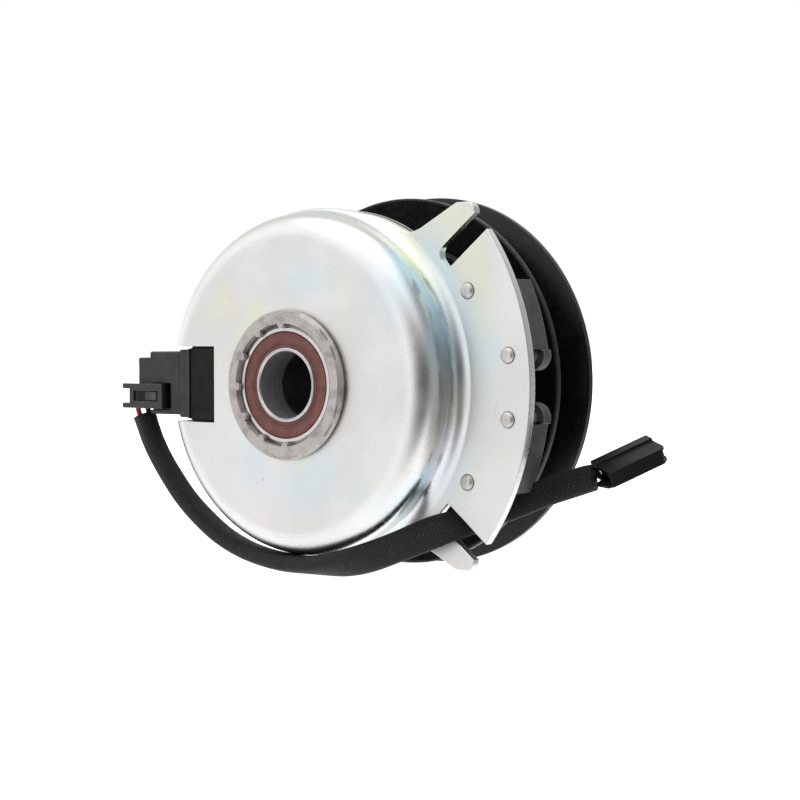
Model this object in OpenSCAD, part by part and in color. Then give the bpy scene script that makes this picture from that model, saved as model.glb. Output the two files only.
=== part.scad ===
// Electromagnetic clutch with a built-in brake, for a belt drive on a small engine.
// The shaft axis is Y, and the origin lies on it, in the front face of the field bearing.
// The field, which faces the engine, is at -Y. The belt pulley is at +Y. +Z is up.
// The plug is at -X and the anti-rotation flange is at +X.

/* [Shaft and bearings] */
// Diameter of the crankshaft that the clutch slides on
shaft_d = 28.575; // [28.4:0.005:28.7]
// Outside diameter of the field bearing
field_bearing_d = 52; // [51.8:0.1:52.2]
// Width of the field bearing
field_bearing_w = 15; // [14.5:0.1:15.5]
// Inside diameter of the pulley bearing
pulley_bearing_bore = 40; // [39.8:0.1:40.2]
// Outside diameter of the pulley bearing
pulley_bearing_d = 68; // [67.6:0.1:68.4]
// Width of the pulley bearing
pulley_bearing_w = 15; // [14.5:0.1:15.2]
// Width of the square key in the rotor hub
key_w = 6.35; // [6:0.05:6.5]

/* [Field] */
// Outside radius of the field cup
cup_r = 73.4; // [72:0.2:74]
// Thickness of the zinc-plated steel plate
plate_t = 4; // [3.5:0.1:4.2]
// Distance from the origin to the front face of the cup
cup_front = 1.8; // [1.5:0.1:3]
// Distance from the origin to the front face of the flange
flange_front = 23.7; // [23.5:0.1:24]
// Outside radius of the flange, measured from the shaft axis
flange_r = 108.3; // [107.5:0.1:109]
// Width of each anti-rotation slot
slot_w = 9; // [8.5:0.1:9.2]
// Angle of each anti-rotation slot, measured from the flange's centre line
slot_angle = 39.5; // [39:0.1:40]

/* [Rotor, armature and brake] */
// Outside radius of the rotor disc
rotor_r = 75; // [74:0.5:75.5]
// Thickness of the rotor disc
rotor_t = 5.5; // [5:0.1:5.5]
// Gap that the armature crosses when the coil is switched on
air_gap = 0.5; // [0.5:0.05:0.6]
// Outside radius of the armature
armature_r = 75.5; // [75:0.1:76]
// Thickness of the armature
armature_t = 6; // [5.5:0.1:6]
// Thickness of the brake pole plates
brake_t = 5.45; // [5:0.05:5.5]

/* [Pulley] */
// Radius of the pulley's front rim
front_rim_r = 83.4; // [82.5:0.1:84]
// Radius of the pulley's rear rim
rear_rim_r = 84.9; // [84:0.1:85.5]
// Radius of the bottom of the belt groove
groove_r = 68; // [67:0.5:69]
// Distance from the origin to the middle of the belt groove
groove_middle = 96.8; // [96.6:0.1:97]
// Radius of the pulley's drum
drum_r = 60; // [59.5:0.1:60.5]

/* [Hidden] */
$fn = 96;

// Places along the shaft
shaft_r = shaft_d / 2;
flange_back = flange_front + plate_t;
rotor_front = flange_back + 1.3;
rotor_back = rotor_front + rotor_t;
armature_front = rotor_back + air_gap;
armature_back = armature_front + armature_t;
brake_front = armature_back + 0.05;
brake_back = brake_front + brake_t;
spring_front = armature_back + 1;
spring_t = 0.8;
carrier_front = spring_front + 3.2;
carrier_t = 3;
pulley_bearing_front = 88;
pulley_bearing_back = pulley_bearing_front + pulley_bearing_w;
hub_back = pulley_bearing_back + 3;

// Field cup and hub
cup_face_r = cup_r - 12;
cup_trim_r = 75.8;
flare_middle_r = 80;
flare_r = flare_middle_r - cup_r;
hub_lip_r = 32;
hub_face = -2;
hub_tube_r = 31.5;
shell_hole_r = 28.2;
pole_gap = 0.3;
bobbin_r = 63.5;
fillet_steps = 10;

// Flange, in the plane across the shaft
flange_plate_r = 112;
rivet_spots = [[77.6, 39.2], [97.5, 13]];
rivet_r = 3.25;
slot_inner_r = 83;
slot_shift = 1.35;

// Brake poles
brake_outer_r = 103.6;
brake_block_r = armature_r + 2;
brake_plate_r = 62;
brake_low_z = 15.2;
brake_high_z = 44;
brake_ear_r = 6.6;
brake_corner = 3.6;
shim_t = 0.3;

// Balls of both bearings
ball_r = 3.969;
ball_room = 0.09;
field_ball_count = 9;
field_ball_pitch = 20.15;
field_ball_y = field_bearing_w / 2;
pulley_ball_count = 12;
pulley_ball_pitch = 27;
pulley_ball_y = pulley_bearing_front + pulley_bearing_w / 2;

// Springs and rivets between the pulley and the armature
spring_count = 3;
spring_r = 50;
spring_half_w = 4;
spring_sweep = 72;
spring_rivet_r = 2.5;

// Belt groove
groove_half = 5.05;
front_rim_front = groove_middle - 13.5;
front_rim_back = groove_middle - 10.1;
rear_rim_front = groove_middle + 10.2;
rear_rim_back = groove_middle + 14;
drum_wall = 3;
hub_outer_r = 38.6;

// Socket and plug
socket_top = 15.6;
socket_bottom = -16.6;
socket_inner_x = -42.2;
plug_front = 6.2;
plug_back = 19.8;
latch_front = 2.6;
latch_t = 1.8;
latch_pivot_x = -86;

// Route of the harness sleeve: [x, y, z, width, thickness, wide side as x, y, z]
sleeve = [
  [-91.8, 9.0, -15.4, 10, 8.6, 0.3, 1, 0],
  [-87.2, 9.3, -26.0, 10, 8.6, 0.2, 1, 0],
  [-82.0, 9.6, -34.5, 10.5, 8.4, 0, 1, 0],
  [-75.5, 10.0, -43.0, 11, 8.2, 0, 1, 0],
  [-67.5, 10.5, -52.0, 11.5, 8, 0, 1, 0],
  [-57.5, 11.0, -60.3, 12, 8, 0, 1, 0],
  [-45.5, 11.0, -67.7, 12, 8, 0, 1, 0],
  [-32.0, 11.0, -73.0, 12, 8, 0, 1, 0],
  [-17.0, 10.5, -76.0, 12, 8, 0, 1, 0],
  [-3.0, 10.0, -77.0, 12, 8, 0, 1, 0],
  [11.0, 9.5, -76.7, 12.5, 8, 0, 1, -0.35],
  [25.0, 9.5, -74.8, 13, 8, 0, 0.8, -0.9],
  [37.5, 10.5, -71.4, 13, 7.6, 0.1, 0.3, -1],
  [49.0, 12.5, -67.0, 13, 7, 0.3, 0, -1],
  [59.0, 15.6, -62.6, 13.5, 6, 0.5, 0, -0.9],
  [66.9, 19.6, -59.0, 14, 4.6, 0.7, 0, -0.7],
  [71.2, 26.0, -56.8, 14, 3.8, 0.77, 0, -0.64],
  [75.6, 32.6, -54.6, 13.4, 4.8, 0.7, 0, -0.7],
  [80.1, 40.2, -52.2, 12.2, 6, 0.5, 0, -0.9],
  [85.4, 47.2, -49.8, 11.6, 6.6, 0.3, 0, -1],
  [91.6, 52.6, -46.4, 11.8, 6.8, 0.3, 0, -1],
  [98.7, 56.8, -43.3, 11.8, 7.2, 0.3, 0, -1],
  [106.7, 59.6, -40.4, 11.8, 7.4, 0.3, 0, -1],
  [112, 60.8, -38.6, 11.6, 7.4, 0.2, 0, -1],
  [115.2, 61.4, -37.8, 11.2, 7.2, 0.1, 0, -1]
];
sleeve_sides = 12;

// Far connector: where its near end lies, and the way that it points
connector_start = [117.9, 63.5, -36.9];
connector_heading = 53.6;
connector_rise = 22.8;
connector_roll = 12;
connector_length = 27.3;
connector_w = 17.4;
connector_t = 6.8;
rail_w = 5.6;
rail_t = 1;

// --- Helpers -----------------------------------------------------------------------------

// Points of an arc about [cx, cy], from angle a0 to angle a1
function arc(cx, cy, r, a0, a1, n = fillet_steps) =
  [for (i = [0:n]) [cx + r * cos(a0 + (a1 - a0) * i / n), cy + r * sin(a0 + (a1 - a0) * i / n)]];

function unit(v) = v / norm(v);

// A profile of [radius, distance along the shaft], turned about the shaft
module turned() rotate([-90, 0, 0]) rotate_extrude() children();

// An outline of [x, z], as a plate from y0 to y1
module plate(y0, y1) translate([0, y1, 0]) rotate([90, 0, 0]) linear_extrude(y1 - y0) children();

module ring(r0, r1, y0, y1) turned() translate([r0, y0]) square([r1 - r0, y1 - y0]);

module rod(r, y0, y1) translate([0, y0, 0]) rotate([-90, 0, 0]) cylinder(r = r, h = y1 - y0);

// Its children above the flange's centre line, and mirrored below it
module both_sides() {
  children();
  mirror([0, 0, 1]) children();
}

// count copies of its children, evenly spaced about the shaft
module around(count) for (i = [0:count - 1]) rotate([0, 360 * i / count, 0]) children();

// --- Field -------------------------------------------------------------------------------

cup_profile = concat(
  [[shell_hole_r, cup_front]],
  arc(cup_face_r, cup_front + 12, 12, -90, 0),
  arc(flare_middle_r, flange_front - flare_r, flare_r, 180, 90),
  [[flange_plate_r, flange_front], [flange_plate_r, flange_back]],
  arc(flare_middle_r, flange_front - flare_r, flare_r + plate_t, 90, 180),
  arc(cup_face_r, cup_front + 12, 12 - plate_t, 0, -90),
  [[shell_hole_r, cup_front + plate_t]]);

// Upper half of the flange: the main plate, then the slot, then the prong beside it
module flange_half_outline() {
  difference() {
    union() {
      intersection() {
        circle(r = flange_r);
        polygon([[0, 0], [flange_plate_r, 0], [flange_plate_r, flange_plate_r * tan(slot_angle)]]);
      }
      polygon(concat([[0, 0], [60, 40], [81.3, 68.6]],
                     arc(77.3, 71.8, 3.8, 5, 100, 6),
                     [[72, 75.5], [53.7, 65.6], [50.8, 64.5], [48, 64.2], [45.6, 64.7],
                      [43.2, 65.8], [38.2, 68.4], [32.9, 70.6], [27.4, 72], [22, 73.2],
                      [14.4, 74.4], [7, 75.4]]));
    }
    rotate(slot_angle) translate([slot_inner_r, -slot_shift]) {
      translate([slot_w / 2, -slot_w / 2]) square([40, slot_w]);
      translate([slot_w / 2, 0]) circle(d = slot_w);
      translate([0, -slot_w / 2]) square([slot_w, slot_w / 2]);
    }
  }
}

module field_shell() {
  color([0.83, 0.85, 0.84]) difference() {
    intersection() {
      turned() polygon(cup_profile);
      plate(0, 40) union() {
        circle(r = cup_trim_r);
        flange_half_outline();
        mirror([0, 1]) flange_half_outline();
      }
    }
    both_sides() for (p = rivet_spots) translate([p[0], 0, p[1]]) rod(rivet_r, 20, 30);
    translate([socket_inner_x - 50, -5, socket_bottom - 0.6])
      cube([50, 50, socket_top - socket_bottom + 1.2]);
  }
}

// Turned steel hub: a lip staked over the bearing, and the tube that is the inner pole.
// The lip is punched inward over the bearing, and notched round its outer edge.
module inner_pole_hub() {
  bearing_r = field_bearing_d / 2;
  color([0.62, 0.61, 0.6]) {
    difference() {
      turned() polygon([
        [bearing_r, hub_face], [hub_lip_r - 1.7, hub_face], [hub_lip_r, 0], [hub_lip_r - 0.4, 0.9],
        [hub_lip_r - 2.7, cup_front], [shell_hole_r, cup_front], [shell_hole_r, cup_front + plate_t],
        [hub_tube_r, cup_front + plate_t], [hub_tube_r, rotor_front - pole_gap],
        [bearing_r, rotor_front - pole_gap], [24.6, 19], [24.6, field_bearing_w],
        [bearing_r, field_bearing_w]]);
      for (a = [19, 36.5, 79.5, 93.5, 260, 276, 316.5, 333.5]) rotate([0, a, 0])
        translate([hub_lip_r - 1.4, hub_face - 1, -3.2]) cube([3, 2.1, 6.4]);
    }
    for (a = [87:30.2:269]) rotate([0, a, 0])
      translate([bearing_r - 0.2, 0, 0]) rod(1.8, hub_face + 0.1, -0.3);
  }
}

module race_groove(pitch, y) turned() translate([pitch, y]) circle(r = ball_r + ball_room, $fn = 48);

module field_bearing_outer_race() {
  color([0.78, 0.78, 0.78]) difference() {
    turned() polygon([[23.5, 0], [24.4, 0], [26, 1.6], [26, 14.5], [25.5, 15], [23.5, 15],
                      [23.5, 12.9], [22.9, 12.9], [22.9, 2.1], [23.5, 2.1]]);
    race_groove(field_ball_pitch, field_ball_y);
  }
}

module field_bearing_seals() {
  color([0.42, 0.17, 0.12]) for (flip = [0, 1])
    translate([0, field_bearing_w * flip, 0]) mirror([0, flip, 0]) turned()
      polygon([[16.05, 0.3], [16.6, 0.3], [16.9, 0.7], [17.6, 0.7], [17.9, 0.35], [22.9, 0.35],
               [23.4, 0.6], [23.4, 1.7], [18, 1.7], [16.05, 1.2]]);
}

module coil_bobbin() {
  r = bobbin_r;
  color([0.13, 0.13, 0.14]) turned() polygon([
    [33, 8.6], [r, 8.6], [r, 10.2], [34.8, 10.2], [34.8, 23.4], [r, 23.4], [r, 25], [33, 25]]);
}

module coil_winding() color([0.72, 0.4, 0.2]) ring(34.8, bobbin_r - 1.2, 10.2, 23.4);

module coil_potting() {
  rim = arc(flare_middle_r, flange_front - flare_r, flare_r + 0.15 + plate_t, 168, 122);
  color([0.1, 0.1, 0.11]) difference() {
    turned() polygon(concat([[32, 25], [bobbin_r, 25], [bobbin_r, rim[0][1]]], rim,
                            [[32, rim[fillet_steps][1]]]));
    translate([socket_inner_x - 50, 0, socket_bottom - 0.6])
      cube([50, 50, socket_top - socket_bottom + 1.2]);
  }
}

// --- Socket, plug and harness ------------------------------------------------------------

module field_socket() {
  mid = (socket_top + socket_bottom) / 2;
  color([0.14, 0.14, 0.14]) difference() {
    union() {
      plate(8.4, 23.4) polygon([[socket_inner_x, socket_bottom], [-60.4, socket_bottom],
                                [-60.4, socket_top], [socket_inner_x, socket_top]]);
      translate([0, 0, socket_bottom]) linear_extrude(socket_top - socket_bottom)
        polygon([[socket_inner_x, 3.4], [socket_inner_x - 0.8, 2.6], [-59.6, 5.4], [-60.4, 6.2],
                 [-60.4, 8.4], [socket_inner_x, 8.4]]);
      translate([-66.2, 4.6, socket_bottom + 0.4])
        cube([5.8, 17.6, socket_top - socket_bottom - 0.8]);
      translate([-84.4, 5, mid - 14]) cube([18.2, 16, 28.3]);
    }
    translate([-90, plug_front, mid - 11.2]) cube([22.6, plug_back - plug_front, 23]);
    translate([-90, 0, -12.6]) cube([18.6, 7, 12.4]);
    ring(30, bobbin_r, 8.6, 25);
  }
}

module socket_terminals() {
  color([0.85, 0.86, 0.86]) for (z = [-4, 5]) translate([-76, 12.4, z - 1.4]) cube([12.5, 0.8, 2.8]);
}

module harness_plug() {
  mid = (socket_top + socket_bottom) / 2;
  color([0.2, 0.2, 0.2]) difference() {
    translate([-93, plug_front + 0.15, mid - 11.4 + 0.35]) cube([25.4, plug_back - plug_front - 0.3, 22.4]);
    for (z = [-4, 5]) translate([-78, 11.6, z - 2]) cube([12.5, 2.4, 4]);
    for (z = [-8.4, 1]) translate([-94, 13, z]) rotate([0, 90, 0]) cylinder(d = 3.4, h = 6);
  }
}

// Latch lever of the plug: a frame with a window, and two finger prongs
module plug_latch() {
  color([0.22, 0.22, 0.22]) difference() {
    union() {
      translate([-95.4, latch_front, -12]) cube([20.6, latch_t, 11.2]);
      for (z = [-12, -3.2]) translate([-99.8, latch_front, z]) cube([4.6, latch_t, 2.4]);
      for (z = [-12, -3.4]) translate([latch_pivot_x, latch_front + latch_t, z]) cylinder(r = 0.9, h = 2.6);
    }
    translate([-92.6, latch_front - 1, -8.8]) cube([15, latch_t + 2, 4.8]);
  }
}

module wire(points, r) {
  sides = 8;
  count = len(points);
  rings = [for (i = [0:count - 1])
    let (a = points[max(i - 1, 0)], b = points[min(i + 1, count - 1)], t = unit(b - a),
         u = unit(cross(t, [0, 1, 0.2])), v = cross(t, u))
    for (k = [0:sides - 1]) points[i] + r * (cos(360 * k / sides) * u + sin(360 * k / sides) * v)];
  tube(rings, count, sides);
}

// A closed tube from rings of points, each ring with the same number of sides
module tube(points, count, sides) {
  walls = [for (i = [0:count - 2]) for (k = [0:sides - 1])
    [i * sides + k, i * sides + (k + 1) % sides, (i + 1) * sides + (k + 1) % sides, (i + 1) * sides + k]];
  ends = [[for (k = [0:sides - 1]) sides - 1 - k], [for (k = [0:sides - 1]) (count - 1) * sides + k]];
  polyhedron(points = points, faces = concat(walls, ends));
}

module wire_red() {
  color([0.8, 0.12, 0.1])
    wire([[-89, 13, -8.4], [-93.2, 12.6, -8.4], [-96.4, 11.4, -9.6], [-96.9, 10, -12.2],
          [-95, 9, -15], [-92.8, 8.6, -17.6]], 1.2);
}

module wire_black() {
  color([0.08, 0.08, 0.08])
    wire([[-89, 13, 1], [-93.4, 13.4, 0.6], [-96.4, 14.2, -2], [-97, 14.6, -6], [-95.4, 14, -10],
          [-92.6, 12.2, -13.8], [-90.4, 10.8, -17.4]], 1.2);
}

module harness_sleeve() {
  count = len(sleeve);
  rings = [for (i = [0:count - 1])
    let (p = [for (c = [0:2]) sleeve[i][c]],
         a = [for (c = [0:2]) sleeve[max(i - 1, 0)][c]],
         b = [for (c = [0:2]) sleeve[min(i + 1, count - 1)][c]],
         t = unit(b - a), hint = [sleeve[i][5], sleeve[i][6], sleeve[i][7]],
         wide = unit(hint - (hint * t) * t), thin = cross(t, wide))
    for (k = [0:sleeve_sides - 1])
      p + sleeve[i][3] / 2 * cos(360 * k / sleeve_sides) * wide
        + sleeve[i][4] / 2 * sin(360 * k / sleeve_sides) * thin];
  color([0.1, 0.1, 0.1]) tube(rings, count, sleeve_sides);
}

// Places its children at the far connector, with +X along the connector and its top at +Z
module at_connector() {
  translate(connector_start) rotate([0, 0, connector_heading]) rotate([0, -connector_rise, 0])
    rotate([connector_roll, 0, 0]) children();
}

// Flat two-way housing with a raised rail along one side, and a braced tongue at the wires' end
module end_connector() {
  l = connector_length;
  w = connector_w;
  t = connector_t;
  color([0.15, 0.15, 0.16]) at_connector() {
    difference() {
      union() {
        translate([0, -w / 2, -t / 2]) cube([l, w, t]);
        translate([0, w / 2 - rail_w, t / 2 - 1]) cube([l, rail_w, rail_t + 1]);
      }
      translate([-1, -w / 2 + 1.4, -t / 2 + 1.3]) cube([4, w - 2.8, t - 2.6]);
      for (y = [-4.2, 4.2]) {
        translate([2, y, 0]) rotate([0, 90, 0]) cylinder(d = 3.6, h = 9);
        translate([l - 9, y - 3, -1.8]) cube([10, 6, 3.6]);
      }
      translate([l + 1, -w / 2 - 1, -t / 2 - 1]) rotate([0, 0, 45])
        translate([-2, -2, 0]) cube([4, 4, t + 2]);
    }
    translate([0, 0, -t / 2]) linear_extrude(1.2) difference() {
      polygon([[0.5, -w / 2], [-1.8, -w / 2 + 1.6], [-3.6, -1], [-3.2, 0.4], [0.5, 2]]);
      polygon([[0, -w / 2 + 2.4], [-2, -2.4], [0, -3.6]]);
      polygon([[-0.4, 0.2], [-2.4, -0.8], [-0.4, -2.2]]);
    }
  }
}

module end_connector_terminals() {
  color([0.8, 0.78, 0.7]) at_connector() for (y = [-4.2, 4.2])
    translate([connector_length - 9, y - 2.4, -0.4]) cube([7, 4.8, 0.8]);
}

// --- Brake -------------------------------------------------------------------------------

module brake_pole() {
  inner = rivet_spots[1];
  corner_x = sqrt(pow(brake_outer_r, 2) - pow(brake_high_z, 2));
  color([0.3, 0.3, 0.31]) difference() {
    union() {
      plate(flange_back + shim_t, brake_front) intersection() {
        difference() {
          circle(r = brake_outer_r);
          circle(r = brake_block_r);
        }
        translate([40, brake_low_z]) square([80, brake_high_z - brake_low_z]);
      }
      plate(brake_front, brake_back) union() {
        intersection() {
          difference() {
            circle(r = brake_outer_r);
            circle(r = brake_plate_r);
          }
          translate([40, brake_low_z]) square([80, brake_high_z - brake_low_z]);
        }
        translate([inner[0], inner[1]]) circle(r = brake_ear_r);
        translate([brake_plate_r + 6, inner[1] - brake_ear_r + 3])
          square([inner[0] - brake_plate_r - 6, brake_ear_r]);
      }
    }
    for (p = rivet_spots) translate([p[0], 0, p[1]]) rod(rivet_r, flange_back, brake_back + 1);
    plate(flange_back, brake_back + 1) translate([corner_x, brake_high_z]) rotate(62)
      square(brake_corner, center = true);
  }
}

module brake_pole_upper() brake_pole();

module brake_pole_lower() mirror([0, 0, 1]) brake_pole();

module brake_shims() {
  color([0.7, 0.68, 0.6]) both_sides() difference() {
    plate(flange_back, flange_back + shim_t) intersection() {
      difference() {
        circle(r = brake_outer_r - 2);
        circle(r = brake_block_r + 1);
      }
      translate([40, brake_low_z + 1]) square([80, brake_high_z - brake_low_z - 2]);
    }
    for (p = rivet_spots) translate([p[0], 0, p[1]]) rod(rivet_r, flange_back - 1, brake_back);
  }
}

module brake_rivets() {
  color([0.8, 0.79, 0.75]) both_sides() for (p = rivet_spots) translate([p[0], 0, p[1]]) {
    rod(rivet_r, flange_front - 1.8, brake_back);
    rod(rivet_r + 1.7, brake_back, brake_back + 1.6);
  }
}

// --- Rotor -------------------------------------------------------------------------------

module rotor_hub() {
  shoulder_r = pulley_bearing_bore / 2 + 3;
  hub_r = pulley_bearing_bore / 2;
  color([0.5, 0.5, 0.52]) difference() {
    turned() polygon([
      [shaft_r, field_bearing_w], [17.2, field_bearing_w], [hub_r, 18], [hub_r, rotor_back],
      [shoulder_r, rotor_back], [shoulder_r, pulley_bearing_front], [hub_r, pulley_bearing_front],
      [hub_r, pulley_bearing_back + 0.1], [hub_r - 1.1, pulley_bearing_back + 0.1],
      [hub_r - 1.1, pulley_bearing_back + 1.5], [hub_r, pulley_bearing_back + 1.5],
      [hub_r, hub_back - 0.8], [hub_r - 0.8, hub_back], [shaft_r, hub_back]]);
    translate([-key_w / 2, field_bearing_w - 1, 0]) cube([key_w, hub_back, shaft_r + 2.6]);
  }
}

// Disc with two rings of curved slots, which send the magnetic flux through the armature
module rotor_disc() {
  slots = 6;
  color([0.45, 0.45, 0.47]) difference() {
    ring(pulley_bearing_bore / 2, rotor_r, rotor_front, rotor_back);
    around(slots) rotate([-90, 0, 0]) translate([0, 0, rotor_front - 1])
      rotate_extrude(angle = 48) translate([42, 0]) square([4, rotor_t + 2]);
    around(slots) rotate([-90, 0, 0]) rotate([0, 0, 30]) translate([0, 0, rotor_front - 1])
      rotate_extrude(angle = 50) translate([60, 0]) square([4, rotor_t + 2]);
  }
}

module field_bearing_inner_race() {
  color([0.8, 0.8, 0.8]) difference() {
    turned() polygon([[shaft_r, 0], [15.6, 0], [15.9, 0.3], [15.9, 2], [17.4, 2.3],
                      [17.4, 12.7], [15.9, 13], [15.9, 15], [shaft_r, 15]]);
    race_groove(field_ball_pitch, field_ball_y);
  }
}

module pulley_bearing_inner_race() {
  r = pulley_bearing_bore / 2;
  y = pulley_bearing_front;
  color([0.8, 0.8, 0.8]) difference() {
    turned() polygon([[r, y], [r + 2.2, y], [r + 2.5, y + 0.3], [r + 2.5, y + 2], [r + 4, y + 2.3],
                      [r + 4, y + 12.7], [r + 2.5, y + 13], [r + 2.5, y + 15], [r, y + 15]]);
    race_groove(pulley_ball_pitch, pulley_ball_y);
  }
}

module hub_snap_ring() {
  r = pulley_bearing_bore / 2;
  color([0.16, 0.16, 0.17]) difference() {
    ring(r - 1, r + 2.2, pulley_bearing_back + 0.15, pulley_bearing_back + 1.45);
    translate([-2, pulley_bearing_back - 1, 10]) cube([4, 4, 20]);
  }
}

module balls(count, pitch, y) {
  color([0.88, 0.88, 0.9]) around(count) translate([pitch, y, 0]) sphere(r = ball_r, $fn = 32);
}

// Snap-in cage: a ring behind the balls, with round pockets between its fingers
module cage(count, pitch, y) {
  color([0.72, 0.66, 0.5]) difference() {
    ring(pitch - 1.5, pitch + 1.5, y - 0.4, y + 5.2);
    around(count) translate([pitch - 6, y, 0]) rotate([0, 90, 0])
      cylinder(r = ball_r + 0.15, h = 12, $fn = 32);
  }
}

module field_bearing_balls() balls(field_ball_count, field_ball_pitch, field_ball_y);

module field_bearing_cage() cage(field_ball_count, field_ball_pitch, field_ball_y);

module pulley_bearing_balls() balls(pulley_ball_count, pulley_ball_pitch, pulley_ball_y);

module pulley_bearing_cage() cage(pulley_ball_count, pulley_ball_pitch, pulley_ball_y);

// --- Pulley ------------------------------------------------------------------------------

module pulley_hub() {
  r = pulley_bearing_d / 2;
  color([0.06, 0.06, 0.07]) turned() polygon([
    [r, 86.4], [hub_outer_r - 0.6, 86.4], [hub_outer_r, 87], [hub_outer_r, 105.4],
    [hub_outer_r - 0.6, 106], [r, 106], [r, pulley_bearing_back + 1.5],
    [r + 1.2, pulley_bearing_back + 1.5], [r + 1.2, pulley_bearing_back + 0.1],
    [r, pulley_bearing_back + 0.1]]);
}

// Disc that carries the drum and the belt groove on the hub
module pulley_web() {
  color([0.06, 0.06, 0.07])
    ring(hub_outer_r, drum_r - drum_wall, groove_middle - 3, groove_middle + 2.6);
}

module pulley_drum() {
  color([0.05, 0.05, 0.06]) ring(drum_r - drum_wall, drum_r, carrier_front, groove_middle);
}

// Front wall of the belt groove
module pulley_front_half() {
  color([0.05, 0.05, 0.06]) turned() polygon([
    [drum_r, groove_middle - 8.6], [drum_r + 1.4, groove_middle - 7],
    [front_rim_r - 3.8, front_rim_front + 1.6], [front_rim_r - 0.8, front_rim_front],
    [front_rim_r, front_rim_front + 0.5], [front_rim_r, front_rim_back - 0.4],
    [front_rim_r - 0.5, front_rim_back], [groove_r, groove_middle - groove_half],
    [groove_r, groove_middle], [drum_r, groove_middle]]);
}

module pulley_rear_half() {
  color([0.05, 0.05, 0.06]) turned() polygon([
    [drum_r - drum_wall, groove_middle], [groove_r, groove_middle],
    [groove_r, groove_middle + groove_half], [rear_rim_r - 0.5, rear_rim_front],
    [rear_rim_r, rear_rim_front + 0.4], [rear_rim_r, rear_rim_back - 0.5],
    [rear_rim_r - 0.8, rear_rim_back], [rear_rim_r - 3.8, rear_rim_back - 1.6],
    [drum_r + 4, groove_middle + 7.2], [drum_r, groove_middle + 6.4],
    [drum_r - drum_wall, groove_middle + 6.4]]);
}

module spring_carrier() {
  color([0.2, 0.2, 0.21]) difference() {
    ring(34, drum_r - drum_wall, carrier_front, carrier_front + carrier_t);
    around(spring_count) rotate([0, spring_sweep, 0]) translate([spring_r, 0, 0])
      rod(5.2, carrier_front - 1, carrier_front + carrier_t + 1);
    around(spring_count) translate([spring_r, 0, 0])
      rod(spring_rivet_r, carrier_front - 1, carrier_front + carrier_t + 1);
  }
}

// Curved strips: one end is riveted to the carrier, the other end to the armature
module leaf_springs() {
  y1 = spring_front + spring_t;
  color([0.66, 0.67, 0.7]) around(spring_count) difference() {
    union() {
      rotate([-90, 0, 0]) translate([0, 0, spring_front])
        rotate_extrude(angle = spring_sweep) translate([spring_r - spring_half_w, 0])
          square([2 * spring_half_w, spring_t]);
      translate([spring_r, 0, 0]) rod(spring_half_w, spring_front, y1);
      rotate([0, spring_sweep, 0]) translate([spring_r, 0, 0]) rod(spring_half_w, spring_front, y1);
    }
    translate([spring_r, 0, 0]) rod(spring_rivet_r, spring_front - 1, y1 + 1);
    rotate([0, spring_sweep, 0]) translate([spring_r, 0, 0])
      rod(spring_rivet_r + 0.3, spring_front - 1, y1 + 1);
  }
}

module spring_rivets() {
  back = carrier_front + carrier_t;
  color([0.7, 0.69, 0.66]) around(spring_count) translate([spring_r, 0, 0]) {
    rod(4, spring_front - 0.6, spring_front);
    rod(spring_rivet_r, spring_front, back);
    rod(3.6, spring_front + spring_t, carrier_front);
    rod(4, back, back + 1.4);
  }
}

module pulley_bearing_outer_race() {
  r = pulley_bearing_d / 2;
  y = pulley_bearing_front;
  color([0.78, 0.78, 0.78]) difference() {
    turned() polygon([[r - 2.5, y], [r - 0.5, y], [r, y + 0.5], [r, y + 14.5], [r - 0.5, y + 15],
                      [r - 2.5, y + 15], [r - 2.5, y + 12.9], [r - 4, y + 12.7], [r - 4, y + 2.3],
                      [r - 2.5, y + 2.1]]);
    race_groove(pulley_ball_pitch, pulley_ball_y);
  }
}

module pulley_bearing_seals() {
  y0 = pulley_bearing_front;
  color([0.1, 0.1, 0.1]) for (flip = [0, 1])
    translate([0, (2 * y0 + pulley_bearing_w) * flip, 0]) mirror([0, flip, 0])
      ring(22.65, 31.4, y0 + 0.5, y0 + 1.7);
}

module bearing_snap_ring() {
  r = pulley_bearing_d / 2;
  color([0.16, 0.16, 0.17]) difference() {
    ring(r - 2, r + 1.1, pulley_bearing_back + 0.15, pulley_bearing_back + 1.45);
    translate([-3.5, pulley_bearing_back - 1, 20]) cube([7, 4, 20]);
  }
}

// --- Armature ----------------------------------------------------------------------------

module armature_plate() {
  color([0.42, 0.42, 0.44]) difference() {
    ring(36, armature_r, armature_front, armature_back);
    around(spring_count) rotate([0, spring_sweep, 0]) translate([spring_r, 0, 0])
      rod(spring_rivet_r, armature_front - 1, armature_back + 1);
    around(spring_count) translate([spring_r, 0, 0]) rod(4.6, armature_front + 3, armature_back + 1);
  }
}

module armature_rivets() {
  head_front = spring_front + spring_t + 0.6;
  color([0.7, 0.69, 0.66]) around(spring_count) rotate([0, spring_sweep, 0])
    translate([spring_r, 0, 0]) {
      rod(spring_rivet_r, armature_front + 0.4, head_front);
      rod(3.8, armature_back, spring_front - 0.1);
      rod(3.8, head_front, head_front + 1.2);
    }
}

field_shell();
inner_pole_hub();
field_bearing_outer_race();
field_bearing_seals();
coil_bobbin();
coil_winding();
coil_potting();
field_socket();
socket_terminals();
harness_plug();
plug_latch();
wire_red();
wire_black();
harness_sleeve();
end_connector();
end_connector_terminals();
brake_pole_upper();
brake_pole_lower();
brake_shims();
brake_rivets();
rotor_hub();
rotor_disc();
field_bearing_inner_race();
pulley_bearing_inner_race();
hub_snap_ring();
field_bearing_balls();
field_bearing_cage();
pulley_bearing_balls();
pulley_bearing_cage();
pulley_hub();
pulley_web();
pulley_drum();
pulley_front_half();
pulley_rear_half();
spring_carrier();
leaf_springs();
spring_rivets();
pulley_bearing_outer_race();
pulley_bearing_seals();
bearing_snap_ring();
armature_plate();
armature_rivets();
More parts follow.
